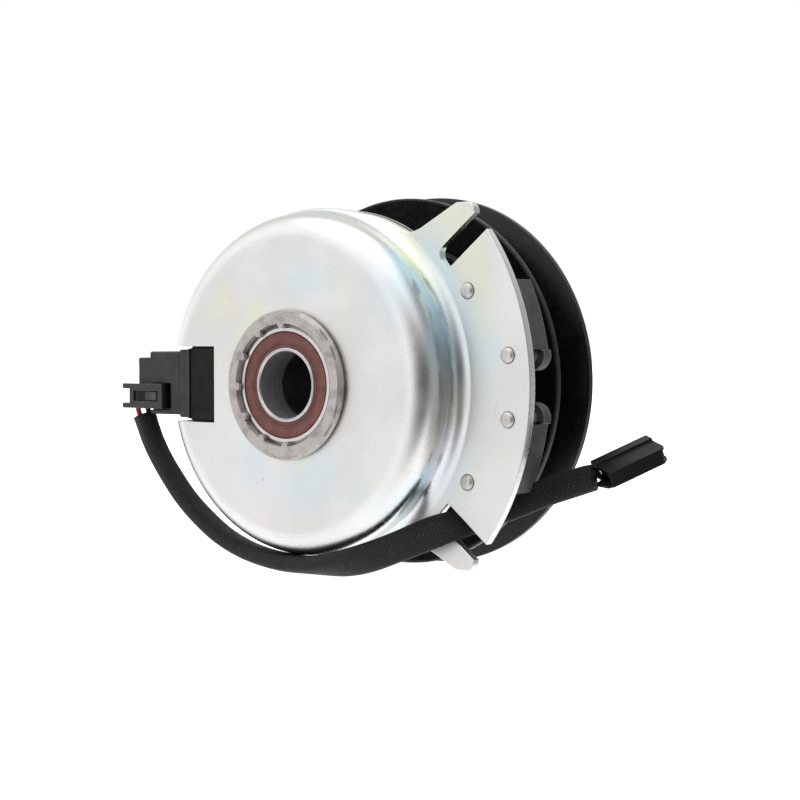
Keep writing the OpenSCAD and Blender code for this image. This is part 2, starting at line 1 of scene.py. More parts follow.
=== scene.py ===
"""Looks of an electromagnetic clutch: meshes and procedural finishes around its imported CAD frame.

The shaft axis is Y, the field faces -Y, the pulley +Y, the plug -X and the flange +X. Lengths in
the tables are millimetres, as in the CAD source, and MM turns them into metres.
"""

import math

import bmesh
import bpy
from mathutils import Matrix, Vector, geometry


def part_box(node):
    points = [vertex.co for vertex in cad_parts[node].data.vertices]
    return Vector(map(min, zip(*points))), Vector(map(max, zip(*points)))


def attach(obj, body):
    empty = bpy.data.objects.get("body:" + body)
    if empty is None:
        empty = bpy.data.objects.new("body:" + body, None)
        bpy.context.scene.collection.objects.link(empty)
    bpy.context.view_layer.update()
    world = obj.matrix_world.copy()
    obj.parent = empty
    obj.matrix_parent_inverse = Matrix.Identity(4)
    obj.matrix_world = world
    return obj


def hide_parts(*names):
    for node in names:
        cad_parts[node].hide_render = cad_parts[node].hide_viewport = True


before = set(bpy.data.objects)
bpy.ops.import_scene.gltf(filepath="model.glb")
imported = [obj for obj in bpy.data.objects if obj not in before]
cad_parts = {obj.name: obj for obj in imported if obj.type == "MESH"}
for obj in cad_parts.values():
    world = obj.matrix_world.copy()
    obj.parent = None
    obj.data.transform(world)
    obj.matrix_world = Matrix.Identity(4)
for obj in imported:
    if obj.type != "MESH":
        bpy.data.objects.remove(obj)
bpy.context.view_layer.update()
scene = bpy.context.scene
MM = 0.001
TURN = 2 * math.pi


# --- Outlines and profiles ---------------------------------------------------------------

def arc(cx, cy, r, a0, a1, steps=10):
    """Points of an arc about (cx, cy), from angle a0 to a1 in degrees."""
    angles = [math.radians(a0 + (a1 - a0) * i / steps) for i in range(steps + 1)]
    return [(cx + r * math.cos(a), cy + r * math.sin(a)) for a in angles]


def rounded(points, radius, steps=4, least_turn=25, wear=None):
    """A closed outline with its sharp corners rounded. Corners of a drawn curve stay as they are.

    wear, if it is a list, gets the wear of each point: 1 in the middle of a rounded corner.
    """
    out = []
    wear = [] if wear is None else wear
    for i, here in enumerate(points):
        before, here, after = Vector(points[i - 1]), Vector(here), Vector(points[(i + 1) % len(points)])
        back, ahead = (before - here), (after - here)
        turn = math.pi - back.angle(ahead)
        if math.degrees(turn) < least_turn:
            out.append(tuple(here))
            wear.append(0.0)
            continue
        reach = min(radius * math.tan(turn / 2), 0.45 * back.length, 0.45 * ahead.length)
        start, end = here + back.normalized() * reach, here + ahead.normalized() * reach
        for k in range(steps + 1):
            t = k / steps
            out.append(tuple(start.lerp(here, t).lerp(here.lerp(end, t), t)))
            wear.append(math.sin(math.pi * t))
    return out


def spun(degrees, u, v=0):
    """A point turned about the shaft."""
    a = math.radians(degrees)
    return (u * math.cos(a) - v * math.sin(a), u * math.sin(a) + v * math.cos(a))


def box_outline(x0, x1, z0, z1):
    return [(x0, z0), (x1, z0), (x1, z1), (x0, z1)]


def circle(cx, cz, r, steps=32):
    return arc(cx, cz, r, 0, 360, steps)[:-1]


def area(points):
    return sum(a[0] * b[1] - b[0] * a[1] for a, b in zip(points, points[1:] + points[:1])) / 2


def inset(points, distance):
    """The outline moved to its left by distance."""
    out = []
    for i, here in enumerate(points):
        a = (Vector(here) - Vector(points[i - 1])).normalized()
        b = (Vector(points[(i + 1) % len(points)]) - Vector(here)).normalized()
        na, nb = Vector((-a.y, a.x)), Vector((-b.y, b.x))
        shift = (na + nb) / max(0.35, 1 + na.dot(nb))
        out.append((here[0] + shift.x * distance, here[1] + shift.y * distance))
    return out


# --- Meshes ------------------------------------------------------------------------------

def across_shaft(u, v, w):
    """An outline of (x, z), with its thickness along the shaft."""
    return (u, w, v)


def upright(u, v, w):
    """An outline of (x, y), with its thickness along Z."""
    return (u, v, w)


def sideways(u, v, w):
    """An outline of (y, z), with its thickness along X."""
    return (w, u, v)


def piece(name, verts, faces, finish, wear=None, sharp=40):
    """A smooth-shaded mesh object from points in millimetres."""
    mesh = bpy.data.meshes.new(name)
    mesh.from_pydata([tuple(c * MM for c in v) for v in verts], [], faces)
    if wear:
        mesh.attributes.new("wear", "FLOAT", "POINT").data.foreach_set("value", wear)
    solid = bmesh.new()
    solid.from_mesh(mesh)
    bmesh.ops.recalc_face_normals(solid, faces=solid.faces)
    solid.to_mesh(mesh)
    solid.free()
    mesh.polygons.foreach_set("use_smooth", [True] * len(mesh.polygons))
    mesh.set_sharp_from_angle(angle=math.radians(sharp))
    obj = bpy.data.objects.new(name, mesh)
    scene.collection.objects.link(obj)
    obj.data.materials.append(finish)
    return obj


def walls(rings, sides, closed=False, start=0):
    """Faces over rings of points that begin at start. Closed, the last ring meets the first."""
    rows = [[start + i * sides + k % sides for k in range(sides + 1)] for i in range(rings)]
    return [(a[k], a[k + 1], b[k + 1], b[k])
            for a, b in zip(rows, rows[1:] + rows[:closed]) for k in range(sides)]


def capped(rings, sides):
    """Walls that are open, and a face over each end."""
    count = rings * sides
    return walls(rings, sides) + [tuple(range(sides)), tuple(range(count - sides, count))]


def even_normals(obj):
    """Keeps wide flat faces flat in their shading, beside narrow rounded edges."""
    obj.modifiers.new("even_normals", "WEIGHTED_NORMAL").keep_sharp = True
    return obj


def lathe(name, profile, finish, edge=0.3, segments=192):
    """A closed profile of (radius, y), turned about the shaft, with its corners rounded."""
    worn = []
    line = rounded(profile, edge, wear=worn)
    verts, wear = [], []
    for s in range(segments):
        c, d = math.cos(TURN * s / segments), math.sin(TURN * s / segments)
        verts += [(r * c, y, r * d) for r, y in line]
        wear += worn
    return even_normals(piece(name, verts, walls(segments, len(line), True), finish, wear))


def slab_mesh(loops, w0, w1, edge, place, steps=3):
    """Points, faces and edge wear of a plate with rounded edges. The first loop is the outside."""
    loops = [loop if (area(loop) > 0) == (i == 0) else loop[::-1] for i, loop in enumerate(loops)]
    angles = [math.pi / 2 * k / steps for k in range(steps + 1)]
    levels = [(edge * (1 - math.sin(a)), w0 + edge * (1 - math.cos(a)), math.sin(2 * a)) for a in angles]
    levels += [(d, w0 + w1 - w, worn) for d, w, worn in reversed(levels)]
    verts, wear, faces, starts = [], [], [], []
    for loop in loops:
        starts.append(len(verts))
        for distance, w, worn in levels:
            verts += [place(u, v, w) for u, v in inset(loop, distance)]
            wear += [worn] * len(loop)
        faces += walls(len(levels), len(loop), start=starts[-1])
    for level in (0, len(levels) - 1):
        rims = [inset(loop, levels[level][0]) for loop in loops]
        index = [start + level * len(loop) + i
                 for start, loop in zip(starts, loops) for i in range(len(loop))]
        flat = geometry.tessellate_polygon([[Vector((u, v, 0)) for u, v in rim] for rim in rims])
        faces += [tuple(index[i] for i in face) for face in flat]
    return verts, faces, wear


def slab(name, loops, w0, w1, finish, edge=0.4, place=across_shaft):
    verts, faces, wear = slab_mesh(loops, w0, w1, edge, place)
    return even_normals(piece(name, verts, faces, finish, wear))


def cutter(outline, w0, w1, place=across_shaft, edge=0.05):
    """A solid that is only taken out of another piece."""
    return slab("cutter", [outline], w0, w1, None, edge, place)


def cut(obj, cutters, bevel=0.0):
    """Takes the cutters out of obj for good, and rounds the new edges."""
    for tool in cutters:
        taken = obj.modifiers.new("cut", "BOOLEAN")
        taken.operation, taken.object, taken.solver = "DIFFERENCE", tool, "EXACT"
        obj.modifiers.move(len(obj.modifiers) - 1, 0)
    if bevel:
        edges = obj.modifiers.new("edges", "BEVEL")
        edges.width, edges.segments, edges.limit_method = bevel * MM, 2, "ANGLE"
        edges.angle_limit = math.radians(60)
        obj.modifiers.move(len(obj.modifiers) - 1, len(cutters))
    bpy.context.view_layer.update()
    made = bpy.data.meshes.new_from_object(obj.evaluated_get(bpy.context.evaluated_depsgraph_get()))
    obj.modifiers.clear()
    obj.data = made
    made.polygons.foreach_set("use_smooth", [True] * len(made.polygons))
    made.set_sharp_from_angle(angle=math.radians(40))
    for tool in cutters:
        bpy.data.objects.remove(tool)
    return even_normals(obj)


def dress(obj, slot, *nodes, body="field"):
    """obj rides on a body and stands for CAD nodes, which it hides. The slot is not used."""
    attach(obj, body)
    if nodes:
        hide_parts(*nodes)
    return obj


# --- Finishes ----------------------------------------------------------------------------

def shade(colour, factor):
    return tuple(min(1, c * factor) for c in colour)


class Nodes:
    """Short ways to add and join the nodes of one tree."""

    def __init__(self, tree, place):
        self.tree = tree
        self.place = self.add("ShaderNodeTexCoord").outputs[place]

    def add(self, kind, **settings):
        node = self.tree.nodes.new(kind)
        for key, value in settings.items():
            setattr(node, key, value)
        return node

    def put(self, socket, value):
        """Joins a socket to another one, or gives it a constant."""
        if isinstance(value, bpy.types.NodeSocket):
            self.tree.links.new(value, socket)
        else:
            socket.default_value = value

    def set(self, node, **values):
        for key, value in values.items():
            self.put(node.inputs[key], value)
        return node

    def sum(self, operation, *values):
        node = self.add("ShaderNodeMath", operation=operation)
        for socket, value in zip(node.inputs, values):
            self.put(socket, value)
        return node.outputs[0]

    def times(self, a, b):
        return self.sum("MULTIPLY", a, b)

    def spread(self, value, low, high, to_low=0.0, to_high=1.0):
        node = self.add("ShaderNodeMapRange", interpolation_type="SMOOTHSTEP")
        return self.set(node, **{"Value": value, "From Min": low, "From Max": high,
                                 "To Min": to_low, "To Max": to_high}).outputs["Result"]


class Finish(Nodes):
    """The nodes of one procedural material. Coordinates are the frame's own, in metres."""

    def __init__(self, name, colour, metallic, roughness, **sockets):
        self.material = bpy.data.materials.new(name)
        self.material.use_nodes = True
        super().__init__(self.material.node_tree, "Object")
        self.shader = self.tree.nodes["Principled BSDF"]
        self.height = None
        self.set(self.shader, **{"Base Color": (*colour, 1), "Metallic": metallic,
                                 "Roughness": roughness, **sockets})

    def noise(self, scale, detail=3.0, vector=None, rough=0.5):
        node = self.add("ShaderNodeTexNoise")
        return self.set(node, Vector=vector or self.place, Scale=scale, Detail=detail,
                        Roughness=rough).outputs["Fac"]

    def grains(self, scale):
        node = self.add("ShaderNodeTexVoronoi")
        return self.set(node, Vector=self.place, Scale=scale).outputs["Distance"]

    def blend(self, amount, a, b):
        """A colour between a and b."""
        node = self.add("ShaderNodeMix", data_type="RGBA")
        for name, value in (("Factor", amount), ("A", a), ("B", b)):
            socket = next(s for s in node.inputs
                          if s.name == name and s.type in ("VALUE", "RGBA") and s.enabled)
            self.put(socket, (*value, 1) if isinstance(value, tuple) else value)
        return next(s for s in node.outputs if s.type == "RGBA")

    def mix(self, amount, a, b):
        """A number between a and b."""
        return self.sum("ADD", a, self.times(amount, self.sum("SUBTRACT", b, a)))

    def moved(self, vector, shift):
        node = self.add("ShaderNodeVectorMath", operation="ADD")
        self.put(node.inputs[0], vector)
        self.put(node.inputs[1], (shift, shift, shift))
        return node.outputs[0]

    def vector(self, x, y, z=0.0):
        return self.set(self.add("ShaderNodeCombineXYZ"), X=x, Y=y, Z=z).outputs[0]

    def turned(self):
        """(radius, distance along the shaft, angle round it)."""
        x, y, z = self.set(self.add("ShaderNodeSeparateXYZ"), Vector=self.place).outputs[:3]
        radius = self.sum("SQRT", self.sum("ADD", self.times(x, x), self.times(z, z)))
        return radius, y, self.sum("ARCTAN2", z, x)

    def wear(self):
        return self.add("ShaderNodeAttribute", attribute_name="wear").outputs["Fac"]

    def colour(self, tint, worn=None, amount=1.0):
        """Sets the colour, with another one where edges are worn."""
        if worn:
            tint = self.blend(self.times(self.wear(), amount), tint, worn)
        self.set(self.shader, **{"Base Color": tint})

    def roughness(self, socket):
        self.set(self.shader, Roughness=socket)

    def drift(self, scale, detail, low, high):
        """Roughness that drifts between low and high."""
        self.roughness(self.spread(self.noise(scale, detail), 0.3, 0.7, low, high))

    def bump(self, height, depth):
        """Adds a relief of depth metres to what is already there."""
        settings = {"Height": height, "Distance": depth, "Strength": 1.0}
        if self.height:
            settings["Normal"] = self.height
        self.height = self.set(self.add("ShaderNodeBump"), **settings).outputs["Normal"]
        self.set(self.shader, Normal=self.height)


# Coloured films on the zinc: scale, shift, where patches begin and are full, strength, colour
FILMS = [(17, 0, 0.5, 0.68, 1, (0.56, 0.79, 0.92)), (24, 3.1, 0.53, 0.7, 1, (0.85, 0.85, 0.56)),
         (29, 7.7, 0.55, 0.72, 0.7, (0.86, 0.75, 0.77))]


def zinc():
    """Bright plating: satin on flat faces, finely drawn on the walls, with thin coloured films."""
    f = Finish("zinc_plate", (0.78, 0.79, 0.78), 1.0, 0.3)
    radius, along, angle = f.turned()
    normal = f.add("ShaderNodeNewGeometry").outputs["Normal"]
    facing = f.set(f.add("ShaderNodeSeparateXYZ"), Vector=normal).outputs["Y"]
    wall = f.spread(f.sum("ABSOLUTE", facing), 0.3, 0.95, 1.0, 0.0)
    tint = f.blend(f.spread(f.noise(18, 4), 0.4, 0.66), (0.745, 0.745, 0.74), (0.81, 0.81, 0.805))
    round_cup = f.vector(f.times(angle, 0.045), radius, along)
    film = f.sum("ADD", 0.35, f.times(wall, 0.65))
    for scale, shift, begins, full, strength, hue in FILMS:
        patches = f.spread(f.noise(scale, 2, f.moved(round_cup, shift)), begins, full, 0.0, strength)
        tint = f.blend(f.times(patches, film), tint, hue)
    tint = f.blend(f.spread(f.noise(1100, 3), 0.48, 0.75, 0.0, 0.3), tint, (0.55, 0.55, 0.54))
    streaks = f.vector(f.times(radius, 900.0), f.times(angle, 5.0), f.times(along, 200.0))
    scuffs = f.spread(f.noise(1.0, 3, streaks), 0.66, 0.76, 0.0, 0.35)
    tint = f.blend(scuffs, tint, (0.5, 0.5, 0.49))
    specks = f.spread(f.grains(170), 0.06, 0.11, 0.8, 0.0)
    rare = f.spread(f.noise(45, 1), 0.62, 0.7)
    tint = f.blend(f.times(specks, rare), tint, (0.4, 0.4, 0.39))
    f.colour(tint, (0.66, 0.65, 0.63), 0.25)
    draw_lines = f.noise(1.0, 4, f.vector(f.times(angle, 60.0), f.times(along, 60.0)), 0.6)
    satin = f.spread(f.noise(70, 4), 0.3, 0.7, 0.37, 0.46)
    f.roughness(f.mix(wall, satin, f.spread(draw_lines, 0.3, 0.7, 0.19, 0.27)))
    f.bump(f.times(draw_lines, wall), 0.00002)
    f.bump(f.times(f.noise(650, 4), wall), 0.00003)
    f.bump(f.noise(900, 3), 0.000006)
    return f.material


def turned_steel(name, colour, dark, roughness, lines=2600.0, depth=0.000012, blotch=0.5,
                 metallic=1.0):
    """Machined metal: fine rings about the shaft, and blotches of a darker tone."""
    f = Finish(name, colour, metallic, roughness)
    radius, along, _ = f.turned()
    rings = f.noise(lines, 2, f.vector(radius, along), 0.7)
    blotches = f.spread(f.noise(110, 4), 0.42, 0.7, 0.0, blotch)
    f.colour(f.blend(blotches, colour, dark), shade(colour, 1.2), 0.6)
    f.roughness(f.sum("ADD", f.spread(rings, 0.3, 0.7, roughness * 0.8, roughness * 1.2),
                      f.times(blotches, 0.16)))
    f.bump(rings, depth)
    f.bump(f.noise(600, 3), depth)
    return f.material


def worn_steel():
    f = Finish("worn_steel", (0.53, 0.49, 0.465), 0.5, 0.4)
    stains = f.spread(f.noise(170, 5, rough=0.6), 0.42, 0.7)
    f.colour(f.blend(stains, (0.58, 0.545, 0.52), (0.36, 0.33, 0.31)), (0.3, 0.28, 0.27), 0.7)
    f.drift(320, 4, 0.36, 0.52)
    f.bump(f.noise(900, 4), 0.00002)
    f.bump(f.noise(200, 2), 0.00004)
    return f.material


def rolled_steel(name, colour, roughness, metallic=0.9, edge=None, grain=900.0, depth=0.000014):
    """Flat stamped or drawn metal, with small stains and lighter edges."""
    f = Finish(name, colour, metallic, roughness)
    tint = f.blend(f.spread(f.noise(95, 4), 0.4, 0.7), colour, shade(colour, 0.72))
    f.colour(tint, edge or shade(colour, 1.25))
    f.drift(260, 4, roughness * 0.8, roughness * 1.25)
    f.bump(f.noise(grain, 3), depth)
    return f.material


def rubber():
    f = Finish("seal_rubber", (0.2, 0.075, 0.062), 0.0, 0.58)
    radius, along, _ = f.turned()
    tone = f.spread(f.noise(260, 4), 0.35, 0.7)
    f.colour(f.blend(tone, (0.225, 0.088, 0.074), (0.165, 0.058, 0.048)))
    f.drift(700, 3, 0.48, 0.66)
    f.bump(f.noise(1500, 2, f.vector(radius, along), 0.6), 0.00001)
    f.bump(f.noise(2600, 2), 0.000012)
    return f.material


def moulded(name, colour, roughness, grain=2600.0, depth=0.00002, worn=None, shine=0.5):
    """Moulded plastic: a fine spark-eroded grain, faint flow clouds and polished edges."""
    f = Finish(name, colour, 0.0, roughness, **{"Specular IOR Level": shine})
    pale = tuple(c * 1.45 + 0.002 for c in colour)
    tint = f.blend(f.spread(f.noise(70, 3), 0.4, 0.7), colour, pale)
    f.colour(tint, worn or tuple(c * 2.2 for c in colour), 0.6)
    f.drift(240, 3, roughness * 0.85, roughness * 1.15)
    f.bump(f.noise(grain, 2), depth)
    f.bump(f.noise(55, 2), 0.00005)
    return f.material


def insulation(name, colour):
    f = Finish(name, colour, 0.0, 0.34, **{"Coat Weight": 0.15, "Coat Roughness": 0.2})
    f.colour(f.blend(f.spread(f.noise(130, 3), 0.4, 0.7), colour, shade(colour, 0.7)))
    f.drift(500, 2, 0.28, 0.42)
    f.bump(f.noise(900, 2), 0.00002)
    return f.material


def pulley_paint():
    f = Finish("pulley_paint", (0.005, 0.005, 0.0055), 0.0, 0.34, **{"Specular IOR Level": 0.28})
    clouds = f.spread(f.noise(160, 4), 0.4, 0.75)
    # Worn paint on the rounded edges, whose grey also paints in the highlights along the rims.
    f.colour(f.blend(clouds, (0.0055, 0.0055, 0.006), (0.0085, 0.0085, 0.009)), (0.1, 0.1, 0.105), 0.8)
    f.drift(400, 3, 0.24, 0.38)
    f.bump(f.noise(1300, 3), 0.00002)
    f.bump(f.noise(40, 2), 0.00001)
    return f.material


def copper():
    f = Finish("copper_winding", (0.8, 0.38, 0.18), 1.0, 0.28)
    wire_pitch = 0.0011
    wires = f.sum("ABSOLUTE", f.sum("SINE", f.times(f.turned()[1], TURN / wire_pitch)))
    # Painted shade: the copper goes nearly black in the grooves between the turns of wire.
    f.colour(f.blend(f.spread(wires, 0.0, 0.5), (0.16, 0.05, 0.02), (0.82, 0.4, 0.2)))
    f.drift(400, 2, 0.22, 0.34)
    f.bump(wires, 0.0002)
    return f.material


def braid():
    """Black monofilament braid. Its UVs count the strands: u along the sleeve, v round it. The wear attribute
    holds the strand height: painted shade on the sunken strands, painted glints on the raised ones.
    """
    f = Finish("braided_sleeve", (0.014, 0.014, 0.015), 0.0, 0.42, **{"Specular IOR Level": 0.3})
    uv = f.add("ShaderNodeUVMap", uv_map="braid").outputs[0]
    u, v = f.set(f.add("ShaderNodeSeparateXYZ"), Vector=uv).outputs[:2]
    one, other = (f.sum("SINE", f.times(f.sum(way, v, u), TURN * 2.5)) for way in ("ADD", "SUBTRACT"))
    lift = f.wear()
    # Painted shade: darker where the strands sink between their neighbours.
    tint = f.blend(f.spread(lift, 0.45, 0.95), (0.005, 0.005, 0.006), (0.036, 0.035, 0.04))
    # Painted glint: grey specks on the raised strands.
    painted_glint = f.times(f.spread(f.noise(620, 2), 0.56, 0.7, 0.0, 0.8), f.spread(lift, 0.5, 0.9))
    f.colour(f.blend(painted_glint, tint, (0.11, 0.108, 0.118)))
    f.roughness(f.spread(lift, 0.2, 0.9, 0.6, 0.34))
    f.bump(f.times(one, other), 0.00005)
    f.bump(f.noise(3000, 2), 0.00002)
    return f.material


def make_finishes():
    return {
        "zinc": zinc(),
        "worn": worn_steel(),
        "race": turned_steel("bearing_steel", (0.71, 0.675, 0.69), (0.55, 0.52, 0.53), 0.27, blotch=0.35),
        "ball": rolled_steel("ball_steel", (0.85, 0.85, 0.86), 0.08, 1.0, grain=300.0, depth=0.000002),
        "rubber": rubber(),
        "black_seal": moulded("black_seal", (0.014, 0.014, 0.015), 0.55),
        "bobbin": moulded("bobbin_plastic", (0.03, 0.03, 0.032), 0.5),
        "potting": moulded("potting_resin", (0.012, 0.012, 0.013), 0.3, grain=300.0, depth=0.00005),
        "socket": moulded("socket_plastic", (0.004, 0.0041, 0.0034), 0.5, worn=(0.02, 0.02, 0.02),
                          shine=0.12),
        "strip": moulded("socket_strip", (0.045, 0.045, 0.05), 0.5),
        "plug": moulded("plug_plastic", (0.026, 0.026, 0.03), 0.55, worn=(0.075, 0.075, 0.085),
                        shine=0.45),
        "latch": moulded("latch_plastic", (0.024, 0.024, 0.028), 0.42, worn=(0.085, 0.085, 0.095)),
        "connector": moulded("connector_plastic", (0.004, 0.004, 0.005), 0.36,
                             worn=(0.04, 0.04, 0.045), shine=0.2),
        "terminal": rolled_steel("terminal_metal", (0.72, 0.7, 0.64), 0.25, 1.0),
        "red": insulation("red_insulation", (0.55, 0.012, 0.016)),
        "black": insulation("black_insulation", (0.012, 0.012, 0.013)),
        "braid": braid(),
        "brake": rolled_steel("brake_steel", (0.098, 0.088, 0.1), 0.42, 0.35, (0.24, 0.225, 0.24), 700.0,
                              0.00003),
        "shim": rolled_steel("shim_steel", (0.62, 0.6, 0.54), 0.3),
        "rivet": rolled_steel("rivet_steel", (0.66, 0.64, 0.61), 0.42, 0.8, (0.6, 0.58, 0.55)),
        "bore": turned_steel("inner_race_steel", (0.66, 0.635, 0.645), (0.4, 0.385, 0.385), 0.3,
                             metallic=0.66),
        # Painted shade: the rotor hub and the armature are steel coloured near black, so the bore and the
        # armature's face look shaded.
        "rotor": turned_steel("rotor_steel", (0.06, 0.058, 0.058), (0.03, 0.03, 0.03), 0.5, 1800.0, 0.00003,
                              0.8, 0.6),
        "armature": turned_steel("armature_steel", (0.04, 0.037, 0.039), (0.03, 0.03, 0.032), 0.4, 1500.0,
                                 0.00003, 0.8, 0.7),
        # Bright steel for thin edge rings on the dark rotor hub and armature: painted highlights, with the
        # armature's worn edge.
        "bright_edge": turned_steel("edge_highlight_and_wear", (0.55, 0.54, 0.55), (0.3, 0.29, 0.3), 0.3),
        "spring": rolled_steel("spring_steel", (0.5, 0.5, 0.53), 0.25, 1.0),
        "oxide": rolled_steel("black_oxide", (0.035, 0.033, 0.036), 0.4, 0.6, (0.12, 0.12, 0.12)),
        "paint": pulley_paint(),
        "cage": moulded("cage_polymer", (0.5, 0.4, 0.22), 0.45),
        "copper": copper(),
    }


# --- Camera, light and floor -------------------------------------------------------------

def make_camera():
    azimuth, elevation = math.radians(37.13), math.radians(1.97)
    data = bpy.data.cameras.new("camera")
    data.lens, data.sensor_width, data.clip_start = 85.5, 36, 0.05
    camera = bpy.data.objects.new("camera", data)
    level = math.cos(elevation)
    ahead = Vector((-math.sin(azimuth) * level, math.cos(azimuth) * level, -math.sin(elevation)))
    camera.location = (0.5244, -0.6118, 0.0213)
    camera.rotation_euler = ahead.to_track_quat("-Z", "Y").to_euler()
    scene.collection.objects.link(camera)
    scene.camera = camera


# Dim sides of the surroundings, fitted to how bright the metal is in the photograph:
# direction, cosines where they begin and are full, and their factor
ZONES = [((0.66, -0.75, 0.0), 0.77, 0.935, 0.04), ((0.88, 0.38, 0.2), 0.47, 0.82, 0.3),
         ((-0.62, -0.785, 0.0), 0.84, 0.975, 0.7), ((-0.45, 0.6, 0.66), 0.5, 0.95, 0.6)]


def make_world():
    """White surroundings, dimmed towards four sides and brighter where metal mirrors them."""
    world = bpy.data.worlds.new("studio")
    world.use_nodes = True
    scene.world = world
    n = Nodes(world.node_tree, "Generated")
    ray = n.add("ShaderNodeLightPath").outputs
    base, mirrored = 0.96, 0.4
    strength = n.sum("MULTIPLY_ADD", ray["Is Glossy Ray"], base * mirrored, base)
    for direction, begins, full, factor in ZONES:
        toward = n.add("ShaderNodeVectorMath", operation="DOT_PRODUCT")
        n.put(toward.inputs[0], n.place)
        n.put(toward.inputs[1], Vector(direction).normalized())
        strength = n.times(n.spread(toward.outputs["Value"], begins, full, 1, factor), strength)
    lit = n.set(n.tree.nodes["Background"], Color=(1, 0.995, 0.99, 1), Strength=strength)
    seen = n.set(n.add("ShaderNodeBackground"), Color=(1, 1, 1, 1), Strength=1.0)
    both = n.add("ShaderNodeMixShader")
    for socket, value in zip(both.inputs, (ray["Is Camera Ray"], lit.outputs[0], seen.outputs[0])):
        n.put(socket, value)
    n.set(n.tree.nodes["World Output"], Surface=both.outputs[0])


def make_lamp():
    data = bpy.data.lights.new("overhead", "AREA")
    data.energy, data.size = 3, 1.2
    lamp = bpy.data.objects.new("overhead", data)
    lamp.location = (-0.2, -0.1, 1.3)
    lamp.rotation_euler = (-lamp.location).to_track_quat("-Z", "Y").to_euler()
    scene.collection.objects.link(lamp)


def make_floor():
    low = min(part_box(node)[0].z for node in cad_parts)
    bpy.ops.mesh.primitive_circle_add(vertices=96, radius=6, fill_type="NGON", location=(0, 0, low - 0.0005))
    floor = bpy.context.object
    floor.name = "floor"
    f = Finish("pale_floor", (0.93, 0.93, 0.93), 0.0, 0.8, **{"Emission Color": (1, 1, 1, 1),
                                                           "Emission Strength": 1.0})
    f.colour(f.blend(f.noise(3, 2), (0.92, 0.92, 0.92), (0.95, 0.95, 0.95)))
    floor.data.materials.append(f.material)
    floor.visible_glossy = floor.visible_diffuse = False


# --- Harness -----------------------------------------------------------------------------

# Route of the sleeve: x, y, z, width, thickness, wide side as x, y, z
SLEEVE = [
    (-91.8, 9.0, -15.4, 10, 8.6, 0.3, 1, 0), (-87.2, 9.3, -26.0, 10, 8.6, 0.2, 1, 0),
    (-82.0, 9.6, -34.5, 10.5, 8.4, 0, 1, 0), (-75.5, 10.0, -43.0, 11, 8.2, 0, 1, 0),
    (-67.5, 10.5, -52.0, 11.5, 8, 0, 1, 0), (-57.5, 11.0, -60.3, 12, 8, 0, 1, 0),
    (-45.5, 11.0, -67.7, 12, 8, 0, 1, 0), (-32.0, 11.0, -73.0, 12, 8, 0, 1, 0),
    (-17.0, 10.5, -76.0, 12, 8, 0, 1, 0), (-3.0, 10.0, -77.0, 12, 8, 0, 1, 0),
    (11.0, 9.5, -76.7, 12.5, 8, 0, 1, -0.35), (25.0, 9.5, -74.8, 13, 8, 0, 0.8, -0.9),
    (37.5, 10.5, -71.4, 13, 7.6, 0.1, 0.3, -1), (49.0, 12.5, -67.0, 13, 7, 0.3, 0, -1),
    (59.0, 15.6, -62.6, 13.5, 6, 0.5, 0, -0.9), (66.9, 19.6, -59.0, 14, 4.6, 0.7, 0, -0.7),
    (71.2, 26.0, -56.8, 14, 3.8, 0.77, 0, -0.64), (75.6, 32.6, -54.6, 13.4, 4.8, 0.7, 0, -0.7),
    (80.1, 40.2, -52.2, 12.2, 6, 0.5, 0, -0.9), (85.4, 47.2, -49.8, 11.6, 6.6, 0.3, 0, -1),
    (91.6, 52.6, -46.4, 11.8, 6.8, 0.3, 0, -1), (98.7, 56.8, -43.3, 11.8, 7.2, 0.3, 0, -1),
    (106.7, 59.6, -40.4, 11.8, 7.4, 0.3, 0, -1), (112.0, 60.8, -38.6, 11.6, 7.4, 0.2, 0, -1),
    (115.2, 61.4, -37.8, 11.2, 7.2, 0.1, 0, -1)]
STRANDS = 24
STRAND_STEP = 1.45
BRAID_DEPTH = 0.2
ROUND_POINTS = 120
ALONG_POINTS = 5.2

WIRE_RED = [(-89, 13, -8.4), (-93.2, 12.6, -8.4), (-96.4, 11.4, -9.6), (-96.9, 10, -12.2),
            (-95, 9, -15), (-92.8, 8.6, -17.6), (-90, 8.8, -22)]
WIRE_BLACK = [(-89, 13, 1), (-93.4, 13.4, 0.6), (-96.4, 14.2, -2), (-97, 14.6, -6), (-95.4, 14, -10),
              (-92.6, 12.2, -13.8), (-90.4, 10.8, -17.4), (-88.6, 10, -22)]


def smooth_path(rows, steps):
    """Rows of numbers on a smooth line through the given rows."""
    rows = [Vector(row) for row in rows]
    out = []
    for i in range(len(rows) - 1):
        a, b = rows[max(i - 1, 0)], rows[i]
        c, d = rows[i + 1], rows[min(i + 2, len(rows) - 1)]
        for k in range(steps):
            t = k / steps
            out.append(0.5 * ((2 * b) + (c - a) * t + (2 * a - 5 * b + 4 * c - d) * t * t
                              + (3 * b - a - 3 * c + d) * t * t * t))
    return out + [rows[-1]]


def braid_lift(u, v):
    """Height, from 0 to 1, of a braid of two crossing sets of strands."""
    one, other = v + u, v - u
    over = 1 if (math.floor(one) + math.floor(other)) % 2 else -1
    ridge_one = math.sin(math.pi * (one % 1)) ** 0.7
    ridge_other = math.sin(math.pi * (other % 1)) ** 0.7
    cross_one, cross_other = math.sin(math.pi * (other % 1)), math.sin(math.pi * (one % 1))
    return max(0.5 * ridge_one * (1 + 0.8 * over * cross_one),
               0.5 * ridge_other * (1 - 0.8 * over * cross_other))


